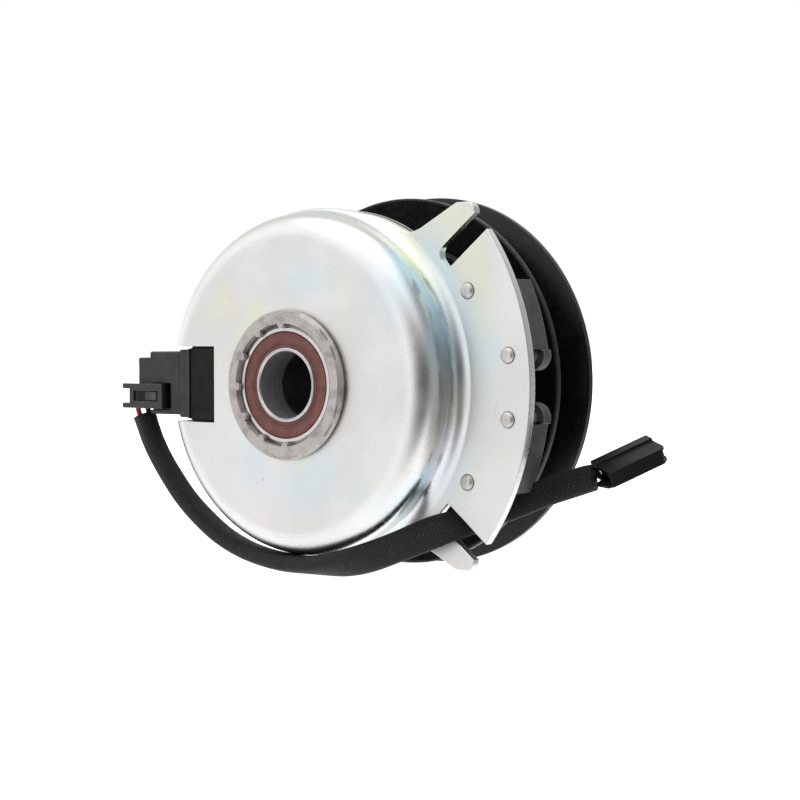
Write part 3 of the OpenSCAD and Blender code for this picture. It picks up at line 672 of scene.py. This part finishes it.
def sleeve_rings():
    """Centre, wide half-axis and thin half-axis of each ring, with the distance to it."""
    rough = smooth_path(SLEEVE, 8)
    points = [Vector(row[:3]) for row in rough]
    reach = [0.0]
    for a, b in zip(points, points[1:]):
        reach.append(reach[-1] + (b - a).length)
    count, rings, i = int(reach[-1] / STRAND_STEP * ALONG_POINTS), [], 0
    for k in range(count + 1):
        s = reach[-1] * k / count
        while i < len(reach) - 2 and reach[i + 1] < s:
            i += 1
        row = rough[i].lerp(rough[i + 1], (s - reach[i]) / (reach[i + 1] - reach[i]))
        along = (points[min(i + 2, len(points) - 1)] - points[max(i - 1, 0)]).normalized()
        hint = Vector(row[5:8])
        wide = (hint - along * hint.dot(along)).normalized()
        rings.append((Vector(row[:3]), wide * row[3] / 2, along.cross(wide) * row[4] / 2, s))
    return rings


def make_sleeve(finish):
    rings = sleeve_rings()
    squeeze = 2.5
    verts, wear, uvs = [], [], []

    def ring(centre, wide, thin, u, shrink, braided):
        for k in range(ROUND_POINTS):
            a = TURN * k / ROUND_POINTS
            c, d = (math.copysign(abs(x) ** (2 / squeeze), x) for x in (math.cos(a), math.sin(a)))
            v = STRANDS * k / ROUND_POINTS
            lift = braid_lift(u, v) if braided else 0.2
            out = wide * c + thin * d
            point = centre + out * shrink
            verts.append(point + out.normalized() * BRAID_DEPTH * (lift - 1))
            # The wear attribute carries the strand height, which the braid finish turns into painted shade and
            # painted glints.
            wear.append(lift)
            uvs.append((u, v))

    first = rings[0]
    for inward in (10, 5, 0.5):
        ring(first[0] + (rings[8][0] - first[0]).normalized() * inward, first[1], first[2], 0, 0.84, False)
    for centre, wide, thin, s in rings:
        flare = 1 + 0.05 * math.exp(-s / 2.0)
        ring(centre, wide * flare, thin * flare, s / STRAND_STEP, 1.0, True)
    faces = capped(len(verts) // ROUND_POINTS, ROUND_POINTS)
    sleeve = piece("sleeve", verts, faces, finish, wear, sharp=80)
    layer = sleeve.data.uv_layers.new(name="braid")
    index = [0] * len(sleeve.data.loops)
    sleeve.data.loops.foreach_get("vertex_index", index)
    spans = [[uvs[i] for i in index[p.loop_start:p.loop_start + p.loop_total]]
             for p in sleeve.data.polygons]
    flat = []
    for span in spans:
        wraps = max(v for _, v in span) - min(v for _, v in span) > STRANDS / 2
        for u, v in span:
            flat += [u, v + STRANDS if wraps and v < STRANDS / 2 else v]
    layer.data.foreach_set("uv", flat)
    return sleeve, [ring[0] * MM for ring in rings[::6]] + [rings[-1][0] * MM]


def make_wire(name, points, finish, radius=1.2):
    rows = smooth_path(points, 6)
    sides, verts = 20, []
    for i, here in enumerate(rows):
        along = (rows[min(i + 1, len(rows) - 1)] - rows[max(i - 1, 0)]).normalized()
        side = along.cross(Vector((0, 1, 0.2))).normalized()
        up = along.cross(side)
        verts += [here + radius * (math.cos(TURN * k / sides) * side + math.sin(TURN * k / sides) * up)
                  for k in range(sides)]
    return piece(name, verts, capped(len(rows), sides), finish, [0.0] * len(verts))


def at_connector(point):
    """From the far connector's own axes, +X along it and +Z its top, to the frame."""
    turn = (Matrix.Rotation(math.radians(53.6), 3, "Z") @ Matrix.Rotation(math.radians(-22.8), 3, "Y")
            @ Matrix.Rotation(math.radians(12), 3, "X"))
    return tuple(Vector((117.9, 63.5, -36.9)) + turn @ Vector(point))


def along_connector(u, v, w):
    """An outline of (y, z) in the connector's axes, with its thickness along it."""
    return at_connector((w, u, v))


def across_connector(u, v, w):
    """An outline of (x, y) in the connector's axes, with its thickness towards its top."""
    return at_connector((u, v, w))


def make_connector(finish, metal):
    length, half, thick, rail, wires = 27.3, 8.7, 3.4, 3.1, (-4.2, 4.2)
    section = [(-half, -thick), (half, -thick), (half, thick + 1), (rail, thick + 1), (rail, thick),
               (-half, thick)]
    shell = slab("far_connector", [rounded(section, 0.45)], 0, length, finish, 0.3, along_connector)
    mouth = rounded(box_outline(1.4 - half, half - 1.4, 1.3 - thick, thick - 1.3), 0.6)
    corner = [(length - 3.4, -half - 1), (length + 1, -half - 1), (length + 1, 3.4 - half),
              (length, 2.6 - half), (length - 2.8, -half)]
    holes = [cutter(mouth, -2, 3, along_connector), cutter(corner, -5, 6, across_connector)]
    for y in wires:
        holes.append(cutter(circle(y, 0, 1.8, 20), 2, 11, along_connector))
        holes.append(cutter(box_outline(y - 3, y + 3, -1.8, 1.8), length - 9, length + 2, along_connector))
    cut(shell, holes, 0.15)
    braces = [[(0.6, -half + 0.4), (-1.8, 1.6 - half), (-3.6, -1), (-3.2, 0.4), (0.6, 2)],
              [(0, 2.4 - half), (-2, -2.4), (0, -3.6)], [(-0.4, 0.2), (-2.4, -0.8), (-0.4, -2.2)]]
    tongue = slab("far_connector_tongue", braces, -thick, 1.2 - thick, finish, 0.2, across_connector)
    nib = slab("far_connector_nib", [rounded(box_outline(5.5, 10.5, 0.2 - thick, 1.4 - thick), 0.5)],
               -half - 0.4, 0.6 - half, finish, 0.3, lambda u, v, w: at_connector((u, w, v)))
    crimps = [slab(f"far_terminal_{i}", [rounded(box_outline(y - 2.4, y + 2.4, -0.4, 0.4), 0.2)],
                   length - 9, length - 2, metal, 0.15, along_connector) for i, y in enumerate(wires, 1)]
    tubes = [slab(f"far_crimp_{i}", [circle(y, 0, 1.3, 20)], 1.2, 8, metal, 0.2, along_connector)
             for i, y in enumerate(wires, 1)]
    dress(shell, "plug_plastic", "end_connector")
    for part in (tongue, nib):
        dress(part, "plug_plastic")
    dress(crimps[0], "terminal_metal", "end_connector_terminals")
    for part in crimps[1:] + tubes:
        dress(part, "terminal_metal")
    return [shell, tongue, nib, *crimps, *tubes]


def make_harness(finish):
    sleeve, path = make_sleeve(finish["braid"])
    dress(sleeve, "braided_sleeve", "harness_sleeve")
    red = dress(make_wire("red_wire", WIRE_RED, finish["red"]), "red_wire", "wire_red")
    black = dress(make_wire("black_wire", WIRE_BLACK, finish["black"]), "black_wire", "wire_black")
    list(make_connector(finish["connector"], finish["terminal"]))


# --- Field -------------------------------------------------------------------------------

CUP_R, CUP_FRONT, PLATE = 73.4, 1.8, 4
CORNER_R, RIM_MIDDLE = 12, 80
FACE_R, BEND_Y, FLARE = CUP_R - CORNER_R, CUP_FRONT + CORNER_R, RIM_MIDDLE - CUP_R
FLANGE_FRONT, FLANGE_BACK = 23.7, 27.7
HOLE_R, FLANGE_R, SLOT_ANGLE = 28.2, 108.3, 39.5
# Angle from the flange's middle, and radius of the cup's rim there
RIM = [(53.2, 80), (54.2, 79.4), (56.5, 78.85), (60.8, 78.3), (65, 77.8), (69, 77.1), (73.2, 76.4),
       (79, 76), (86, 75.8)]
RIVETS = [(77.6, 39.2), (97.5, 13)]
SOCKET_IN, SOCKET_OUT, SOCKET_LOW, SOCKET_HIGH = -42.2, -60.4, -16.6, 15.6


def cup_section(outer):
    """(radius, y, wear) round the section of the cup, whose rim is cut at radius outer."""
    def turned(r):
        return 180 - math.degrees(math.acos((RIM_MIDDLE - outer) / r))

    steps, edge, middle = (0, 0.25, 0.5, 0.75, 1), 0.7, FLANGE_FRONT - FLARE
    face = [HOLE_R + 0.01] + [HOLE_R + (FACE_R - HOLE_R) * t for t in steps[1:4]]
    front = [(r, CUP_FRONT) for r in face] + arc(FACE_R, BEND_Y, CORNER_R, -90, 0, 20)
    front += arc(RIM_MIDDLE, middle, FLARE, 180, turned(FLARE), 14)
    back = arc(RIM_MIDDLE, middle, FLARE + PLATE, turned(FLARE + PLATE), 180, 14)
    back += arc(FACE_R, BEND_Y, CORNER_R - PLATE, 0, -90, 20) + [(r, CUP_FRONT + PLATE) for r in face[::-1]]
    a, b = Vector(front[-1]), Vector(back[0])
    span = (b - a).normalized()
    lead, tail = (Vector(front[-2]) - a).normalized(), (Vector(back[1]) - b).normalized()
    corner = [a + edge * (lead * (1 - t) ** 2 + span * t * t) for t in steps]
    corner += [b + edge * (tail * t * t - span * (1 - t) ** 2) for t in steps]
    return ([(r, y, 0.0) for r, y in front[:-1]] + [(p.x, p.y, 1.0) for p in corner]
            + [(r, y, 0.0) for r, y in back[1:]])


def rim_radius(angle):
    """Radius of the cup's cut rim, which flares into the flange beside each prong."""
    for (a, r), (b, s) in zip(RIM, RIM[1:]):
        if angle < b:
            return r + (s - r) * max(0.0, (angle - a) / (b - a))
    return RIM[-1][1]


def make_cup(finish):
    angles = list(range(-180, 180)) + [s * RIM[0][0] for s in (-1, 1)]
    verts, wear = [], []
    for angle in sorted(angles):
        section = cup_section(rim_radius(abs(angle)))
        c, d = math.cos(math.radians(angle)), math.sin(math.radians(angle))
        verts += [(r * c, y, r * d) for r, y, _ in section]
        wear += [w for _, _, w in section]
    cup = piece("shell_cup", verts, walls(len(angles), len(section), True), finish, wear)
    notch = cutter(box_outline(SOCKET_IN - 60, SOCKET_IN, SOCKET_LOW - 0.6, SOCKET_HIGH + 0.6), -5, 45)
    return dress(cut(cup, [notch], 0.3), "zinc_plate", "field_shell")


def flange_half():
    """Outline of the upper half of the flange plate, from the inside of the prong to the middle."""
    prong = [(45.7, 64.2), (46.8, 64.1), (48.3, 64.1), (50.8, 64.5), (53.7, 65.6), (72, 75.5)]
    prong += arc(77.3, 71.8, 3.8, 100, 5, 8)
    slot = [(107.77, 3.15), (87.5, 3.15)] + arc(87.5, -1.35, 4.5, 100, 180, 9)
    slot = [spun(SLOT_ANGLE, *p) for p in slot + [(83, -5.45), (83.4, -5.85), (108.0, -5.85)]]
    start = math.degrees(math.atan2(slot[-1][1], slot[-1][0]))
    return prong + slot + arc(0, 0, FLANGE_R, start - 0.15, 0.5, 40)


def make_flange(finish):
    upper = flange_half()
    lower = [(x, -z) for x, z in reversed(upper)]
    angle = math.degrees(math.atan2(upper[0][1], upper[0][0]))
    outside = upper + lower + arc(0, 0, 78.6, -angle + 0.4, angle - 0.4, 90)
    holes = [circle(x, s * z, 3.3, 36) for x, z in RIVETS for s in (-1, 1)]
    plate = slab("shell_flange", [outside] + holes, FLANGE_FRONT, FLANGE_BACK, finish, 0.45)
    return dress(plate, "zinc_plate")


def make_rivets(finish):
    profile = [(0.01, 0.2), (1.5, 0.2), (2.3, 0.35), (2.75, 0.7), (3.22, 1.5), (3.22, 24.0), (3.22, 24.4),
               (4.95, 24.7), (4.9, 25.3), (4.0, 25.95), (2.2, 26.2), (0.01, 26.2)]
    for i, (x, z) in enumerate([(x, s * z) for x, z in RIVETS for s in (1, -1)], 1):
        rivet = lathe(f"brake_rivet_{i}", profile, finish, 0.35, 48)
        rivet.data.transform(Matrix.Translation(Vector((x, FLANGE_FRONT - 1.8, z)) * MM))
        dress(rivet, "rivet_steel", *(["brake_rivets"] if i == 1 else []))


def make_hub(finish):
    profile = [(26, -2), (30.3, -2), (32, 0), (31.6, 0.9), (29.3, 1.8), (28.2, 1.8), (28.2, 5.8), (31.5, 5.8),
               (31.5, 28.7), (26, 28.7), (24.6, 19), (24.6, 15), (26, 15)]
    hub = lathe("hub_ring", profile, finish, 0.22, 240)
    stakes = [cutter([spun(a, u, v) for u, v in box_outline(30.6, 34, -3.2, 3.2)], -3, -0.9)
              for a in (43.5, 26.5, 100, 84, -19, -36.5, -79.5, -93.5)]
    dress(cut(hub, stakes), "hub_steel", "inner_pole_hub")
    for k in range(7):
        dimple = circle(*spun(91.8 + 30.2 * k, 25.8), 1.8, 28)
        punch = slab(f"hub_punch_{k + 1}", [dimple], -2.05, -0.3, finish, 0.3)
        dress(punch, "hub_steel")


def make_field_bearing(race, inner_race, rubber_finish):
    outer = lathe("field_outer_race", [(22.9, 0.05), (23.1, 0), (24.2, 0), (25.9, 1.5), (26, 2.2), (26, 14.5),
                                       (25.5, 15), (23.5, 15), (23.5, 12.9), (22.9, 12.9)], race, 0.25)
    dress(outer, "bearing_steel", "field_bearing_outer_race")
    inner = lathe("field_inner_race", [(14.2875, 0.5), (14.7, 0), (15.6, 0), (15.9, 0.3), (15.9, 2), (17.4, 2.3),
                                       (17.4, 12.7), (15.9, 13), (15.9, 14.7), (15.6, 15), (14.7, 15),
                                       (14.2875, 14.6)], inner_race, 0.2)
    dress(inner, "bearing_steel", "field_bearing_inner_race", body="rotor")
    face = [(16.1, 0.5), (16.5, 0.3), (17.0, 0.45), (17.1, 0.75), (17.4, 0.75), (17.55, 0.4), (18.1, 0.35),
            (18.2, 0.55), (18.45, 0.55), (18.6, 0.35), (22.1, 0.35), (22.25, 0.8), (22.6, 0.8), (22.85, 0.5),
            (22.85, 1.7), (18, 1.7), (16.1, 1.2)]
    front = lathe("field_seal_front", face, rubber_finish, 0.1)
    dress(front, "seal_rubber", "field_bearing_seals")
    back = lathe("field_seal_back", [(r, 15 - y) for r, y in face], rubber_finish, 0.1)
    dress(back, "seal_rubber")


# --- Socket and plug ---------------------------------------------------------------------

def make_socket(finish):
    low, high = SOCKET_LOW, SOCKET_HIGH
    front = [(SOCKET_IN, 4.2), (SOCKET_IN - 1.2, 2.6), (-59.6, 5.4), (SOCKET_OUT, 6.2), (SOCKET_OUT, 8.6),
             (SOCKET_IN, 8.6)]
    block = slab("socket_front", [rounded(front, 0.9)], low, high, finish["socket"], 0.9, upright)
    dress(block, "socket_plastic", "field_socket")
    body = slab("socket_body", [rounded(box_outline(SOCKET_OUT, SOCKET_IN, low, high), 0.4)], 8.3, 23.4,
                finish["socket"], 0.3)
    coil_room = circle(0, 0, 63.5, 160)
    dress(cut(body, [cutter(coil_room, 8.6, 25)]), "socket_plastic")
    strip = slab("socket_strip", [rounded(box_outline(4.9, 22.2, low + 0.6, high - 0.6), 0.8)], -61.3, -60.3,
                 finish["strip"], 0.3, sideways)
    dress(strip, "socket_plastic")
    flange = slab("socket_flange", [rounded(box_outline(5.0, 22.0, low + 1.0, high - 1.0), 1.2)], -66.2, -61.2,
                  finish["plug"], 0.5, sideways)
    dress(flange, "socket_plastic")


def make_shroud(finish):
    mid = (SOCKET_LOW + SOCKET_HIGH) / 2
    outline = box_outline(5, 21, mid - 14, mid + 14.2)
    room = box_outline(6.2, 19.8, mid - 11.2, mid + 11.8)
    shroud = slab("shroud", [rounded(outline, 1.3), room], -84.4, -66.1, finish, 0.5, sideways)
    gap = rounded(box_outline(-90, -71.4, -12.6, -0.2), 1.2)
    dress(cut(shroud, [cutter(gap, 0, 7)], 0.2), "plug_plastic")


def make_plug(finish, metal):
    low, high = -11.55, 10.85
    body = slab("plug_body", [rounded(box_outline(6.35, 19.65, low, high), 0.9)], -93, -67.6, finish, 0.5,
                sideways)
    bores = [cutter(circle(13, z, 1.7, 20), -95, -88, sideways) for z in (-8.4, 1)]
    pockets = [cutter(box_outline(11.6, 14, z - 2, z + 2), -78, -64, sideways) for z in (-4, 5)]
    latch_well = cutter(box_outline(-76.6, -69.4, -12.4, -0.5), 5, 10.6)
    dress(cut(body, [*bores, *pockets, latch_well], 0.15), "plug_plastic", "harness_plug")
    shelf = slab("plug_shelf", [rounded(box_outline(-95.2, -84, -9.6, -3.2), 0.4)], 6.4, 7.6, finish, 0.3)
    dress(shelf, "plug_plastic")
    for k, z in enumerate((-4, 5), 1):
        blade = rounded(box_outline(12.4, 13.2, z - 1.4, z + 1.4), 0.2)
        pin = slab(f"socket_terminal_{k}", [blade], -76, -63.6, metal, 0.2, sideways)
        dress(pin, "terminal_metal", *(["socket_terminals"] if k == 1 else []))


def make_latch(finish):
    front, back = 2.6, 4.4
    frame_outline = [(-95.4, -12), (-74.8, -12), (-74.8, -0.8), (-95.4, -0.8)]
    window = box_outline(-92.6, -77.6, -8.8, -4)
    plate = slab("latch_frame", [rounded(frame_outline, 0.8), rounded(window, 0.5)], front, back, finish, 0.4)
    dress(plate, "plug_plastic", "plug_latch", body="plug_latch")
    for name, z0, z1, pin in (("lower", -12, -9.6, (-12, -9.4)), ("upper", -3.2, -0.8, (-3.4, -0.8))):
        prong = slab(f"latch_prong_{name}", [rounded(box_outline(-99.8, -94.6, z0, z1), 0.7)], front, back,
                     finish, 0.4)
        dress(prong, "plug_plastic", body="plug_latch")
        pivot = slab(f"latch_pivot_{name}", [circle(-86, back, 0.9, 24)], *pin, finish, 0.15, upright)
        dress(pivot, "plug_plastic", body="plug_latch")
    ramp = [(-89.5, 6.5), (-80.6, 3.2), (-78.7, 3.2), (-78.7, 6.5)]
    hook = slab("latch_hook", [rounded(ramp, 0.3)], -8.4, -4.4, finish, 0.25, upright)
    dress(hook, "plug_plastic")


# --- Brake, rotor and pulley -------------------------------------------------------------

BRAKE_LOW, BRAKE_HIGH = 15.2, 44


def rise(height, radius):
    """Angle at which a circle reaches a height."""
    return math.degrees(math.asin(height / radius))


def brake_block_outline(inner=77.5, outer=103.6, steps=36):
    """The part of a ring on the +X side between the heights of a brake pole."""
    return (arc(0, 0, outer, rise(BRAKE_LOW, outer), rise(BRAKE_HIGH, outer), steps)
            + arc(0, 0, inner, rise(BRAKE_HIGH, inner), rise(BRAKE_LOW, inner), steps))


def brake_plate_outline():
    """The back plate of a brake pole: a ring piece with an ear round the inner rivet."""
    (ex, ez), ear, outer, inner = RIVETS[1], 6.6, 103.6, 62
    outline = arc(0, 0, outer, rise(BRAKE_LOW, outer), rise(BRAKE_HIGH, outer) - 2.2, 30)
    outline += [(92.4, BRAKE_HIGH)]
    outline += arc(0, 0, inner, rise(BRAKE_HIGH, inner), rise(BRAKE_LOW, inner), 24)
    outline += [(68, BRAKE_LOW), (68, ez - 3.6), (ex - 5.53, ez - 3.6)]
    return outline + arc(ex, ez, ear, 213, 360 + rise(BRAKE_LOW - ez, ear), 26)


def make_brake(finish):
    for name, side in (("upper", 1), ("lower", -1)):
        block = [(x, side * z) for x, z in brake_block_outline()]
        back = [(x * 0.9994, side * z) for x, z in brake_plate_outline()]
        pad = slab(f"brake_block_{name}", [rounded(block, 1.4)], 28, 46.5, finish, 0.6)
        plate = slab(f"brake_plate_{name}", [rounded(back, 1.2)], 41.05, 46.46, finish, 0.6)
        dress(pad, "brake_steel", f"brake_pole_{name}")
        dress(plate, "brake_steel")


def make_rotor(finish):
    hub = lathe("rotor_hub", [(14.2875, 15.4), (14.7, 15), (17.2, 15), (20, 18), (20, 34.5), (23, 34.5),
                              (23, 88), (20, 88), (20, 103.1), (18.9, 103.1), (18.9, 104.5), (20, 104.5),
                              (20, 105.2), (19.2, 106), (15, 106), (14.2875, 105.3)], finish["rotor"], 0.25)
    key = cutter(rounded(box_outline(-3.175, 3.175, 0, 16.89), 0.2), 14, 108, edge=0.02)
    dress(cut(hub, [key], 0.15), "rotor_steel", "rotor_hub", body="rotor")
    # A thin bright ring on the bore's mouth chamfer: a painted highlight beside the dark hub.
    mouth = lathe("hub_mouth", [(14.25, 16.4), (15.3, 15.08), (15.8, 15.06), (15.2, 16.6)],
                  finish["bright_edge"], 0.1)
    dress(mouth, "rotor_steel", body="rotor")


def make_armature(finish):
    plate = lathe("armature", [(36, 35), (75.5, 35), (75.5, 41), (36, 41)], finish["armature"], 0.35)
    wells = []
    for k in range(3):
        wells.append(cutter(circle(*spun(-120 * k, 50), 4.6, 24), 38, 43, edge=0.02))
        wells.append(cutter(circle(*spun(-120 * k - 72, 50), 2.5, 20), 33, 43, edge=0.02))
    dress(cut(plate, wells, 0.15), "armature_steel", "armature_plate", body="armature")
    # A bright band round the rim: the worn edge and a painted highlight together.
    band = lathe("armature_edge", [(75.2, 40.1), (75.62, 40.25), (75.62, 40.85), (75.2, 41.02)],
                 finish["bright_edge"], 0.12)
    dress(band, "armature_steel", body="armature")


def make_pulley(paint):
    front = [(60, 88.2), (61.4, 89.8), (77.5, 85.6), (79.4, 84.3), (82.4, 83.3), (83.1, 83.4), (83.4, 84.0),
             (83.4, 86.1), (82.9, 86.7), (81.0, 87.4), (68, 91.75), (68, 96.8), (60, 96.8)]
    rear = [(57, 96.8), (68, 96.8), (68, 101.85), (82.4, 106.2), (84.4, 107), (84.9, 107.5), (84.9, 110.2),
            (84.1, 110.8), (81.1, 109.6), (79.2, 108.3), (64, 104), (60, 103.2), (57, 103.2)]
    drum = [(57, 45.2), (60, 45.2), (60, 96.8), (57, 96.8)]
    web = [(38.5, 93.8), (57, 93.8), (57, 99.4), (38.5, 99.4)]
    hub = [(34, 86.4), (38, 86.4), (38.6, 87), (38.6, 105.4), (38, 106), (34, 106), (34, 104.5), (35.2, 104.5),
           (35.2, 103.1), (34, 103.1)]
    for name, profile, edge, segments, node in (
            ("front", front, 0.35, 256, "front_half"), ("rear", rear, 0.35, 256, "rear_half"),
            ("drum", drum, 0.4, 256, "drum"), ("web", web, 0.6, 192, "web"), ("hub", hub, 0.25, 192, "hub")):
        part = lathe(f"pulley_{name}", profile, paint, edge, segments)
        dress(part, "pulley_paint", f"pulley_{node}", body="pulley")


def make_pulley_bearing(finish):
    outer = [(31.5, 88), (33.5, 88), (34, 88.5), (34, 102.5), (33.5, 103), (31.5, 103), (31.5, 100.9),
             (30, 100.7), (30, 90.3), (31.5, 90.1)]
    inner = [(20, 88), (22.2, 88), (22.5, 88.3), (22.5, 90), (24, 90.3), (24, 100.7), (22.5, 101), (22.5, 102.7),
             (22.2, 103), (20, 103)]
    for name, body, profile, edge in (("outer", "pulley", outer, 0.25), ("inner", "rotor", inner, 0.2)):
        race = lathe(f"pulley_{name}_race", profile, finish["race"], edge)
        dress(race, "bearing_steel", f"pulley_bearing_{name}_race", body=body)
    face = [(22.65, 0.6), (23.1, 0.45), (23.5, 0.9), (24.2, 0.9), (24.5, 0.5), (30.4, 0.5), (30.8, 0.35),
            (31.4, 0.6), (31.4, 1.7), (22.65, 1.7)]
    for name, y, turn in (("front", 88, 1), ("back", 103, -1)):
        seal = lathe(f"pulley_seal_{name}", [(r, y + turn * d) for r, d in face], finish["black_seal"], 0.12)
        dress(seal, "black_seal", *(["pulley_bearing_seals"] if turn == 1 else []), body="pulley")


def paint_frame(finish):
    """Finishes of the CAD nodes whose own shape stays."""
    kept = {"coil_bobbin": "bobbin", "coil_winding": "copper", "coil_potting": "potting", "brake_shims": "shim",
            "rotor_disc": "rotor", "hub_snap_ring": "oxide", "bearing_snap_ring": "oxide",
            "field_bearing_balls": "ball", "pulley_bearing_balls": "ball", "field_bearing_cage": "cage",
            "pulley_bearing_cage": "cage", "spring_carrier": "oxide", "leaf_springs": "spring",
            "spring_rivets": "rivet", "armature_rivets": "rivet"}
    for node, name in kept.items():
        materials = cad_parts[node].data.materials
        materials.clear()
        materials.append(finish[name])


def main():
    make_camera()
    finish = make_finishes()
    make_harness(finish)
    make_world()
    make_lamp()
    make_floor()
    make_cup(finish["zinc"])
    make_flange(finish["zinc"])
    make_rivets(finish["rivet"])
    make_hub(finish["worn"])
    make_field_bearing(finish["race"], finish["bore"], finish["rubber"])
    make_socket(finish)
    make_shroud(finish["plug"])
    make_plug(finish["plug"], finish["terminal"])
    make_latch(finish["latch"])
    make_brake(finish["brake"])
    make_rotor(finish)
    make_armature(finish)
    make_pulley(finish["paint"])
    make_pulley_bearing(finish)
    paint_frame(finish)
    scene.view_settings.view_transform = "Standard"


main()
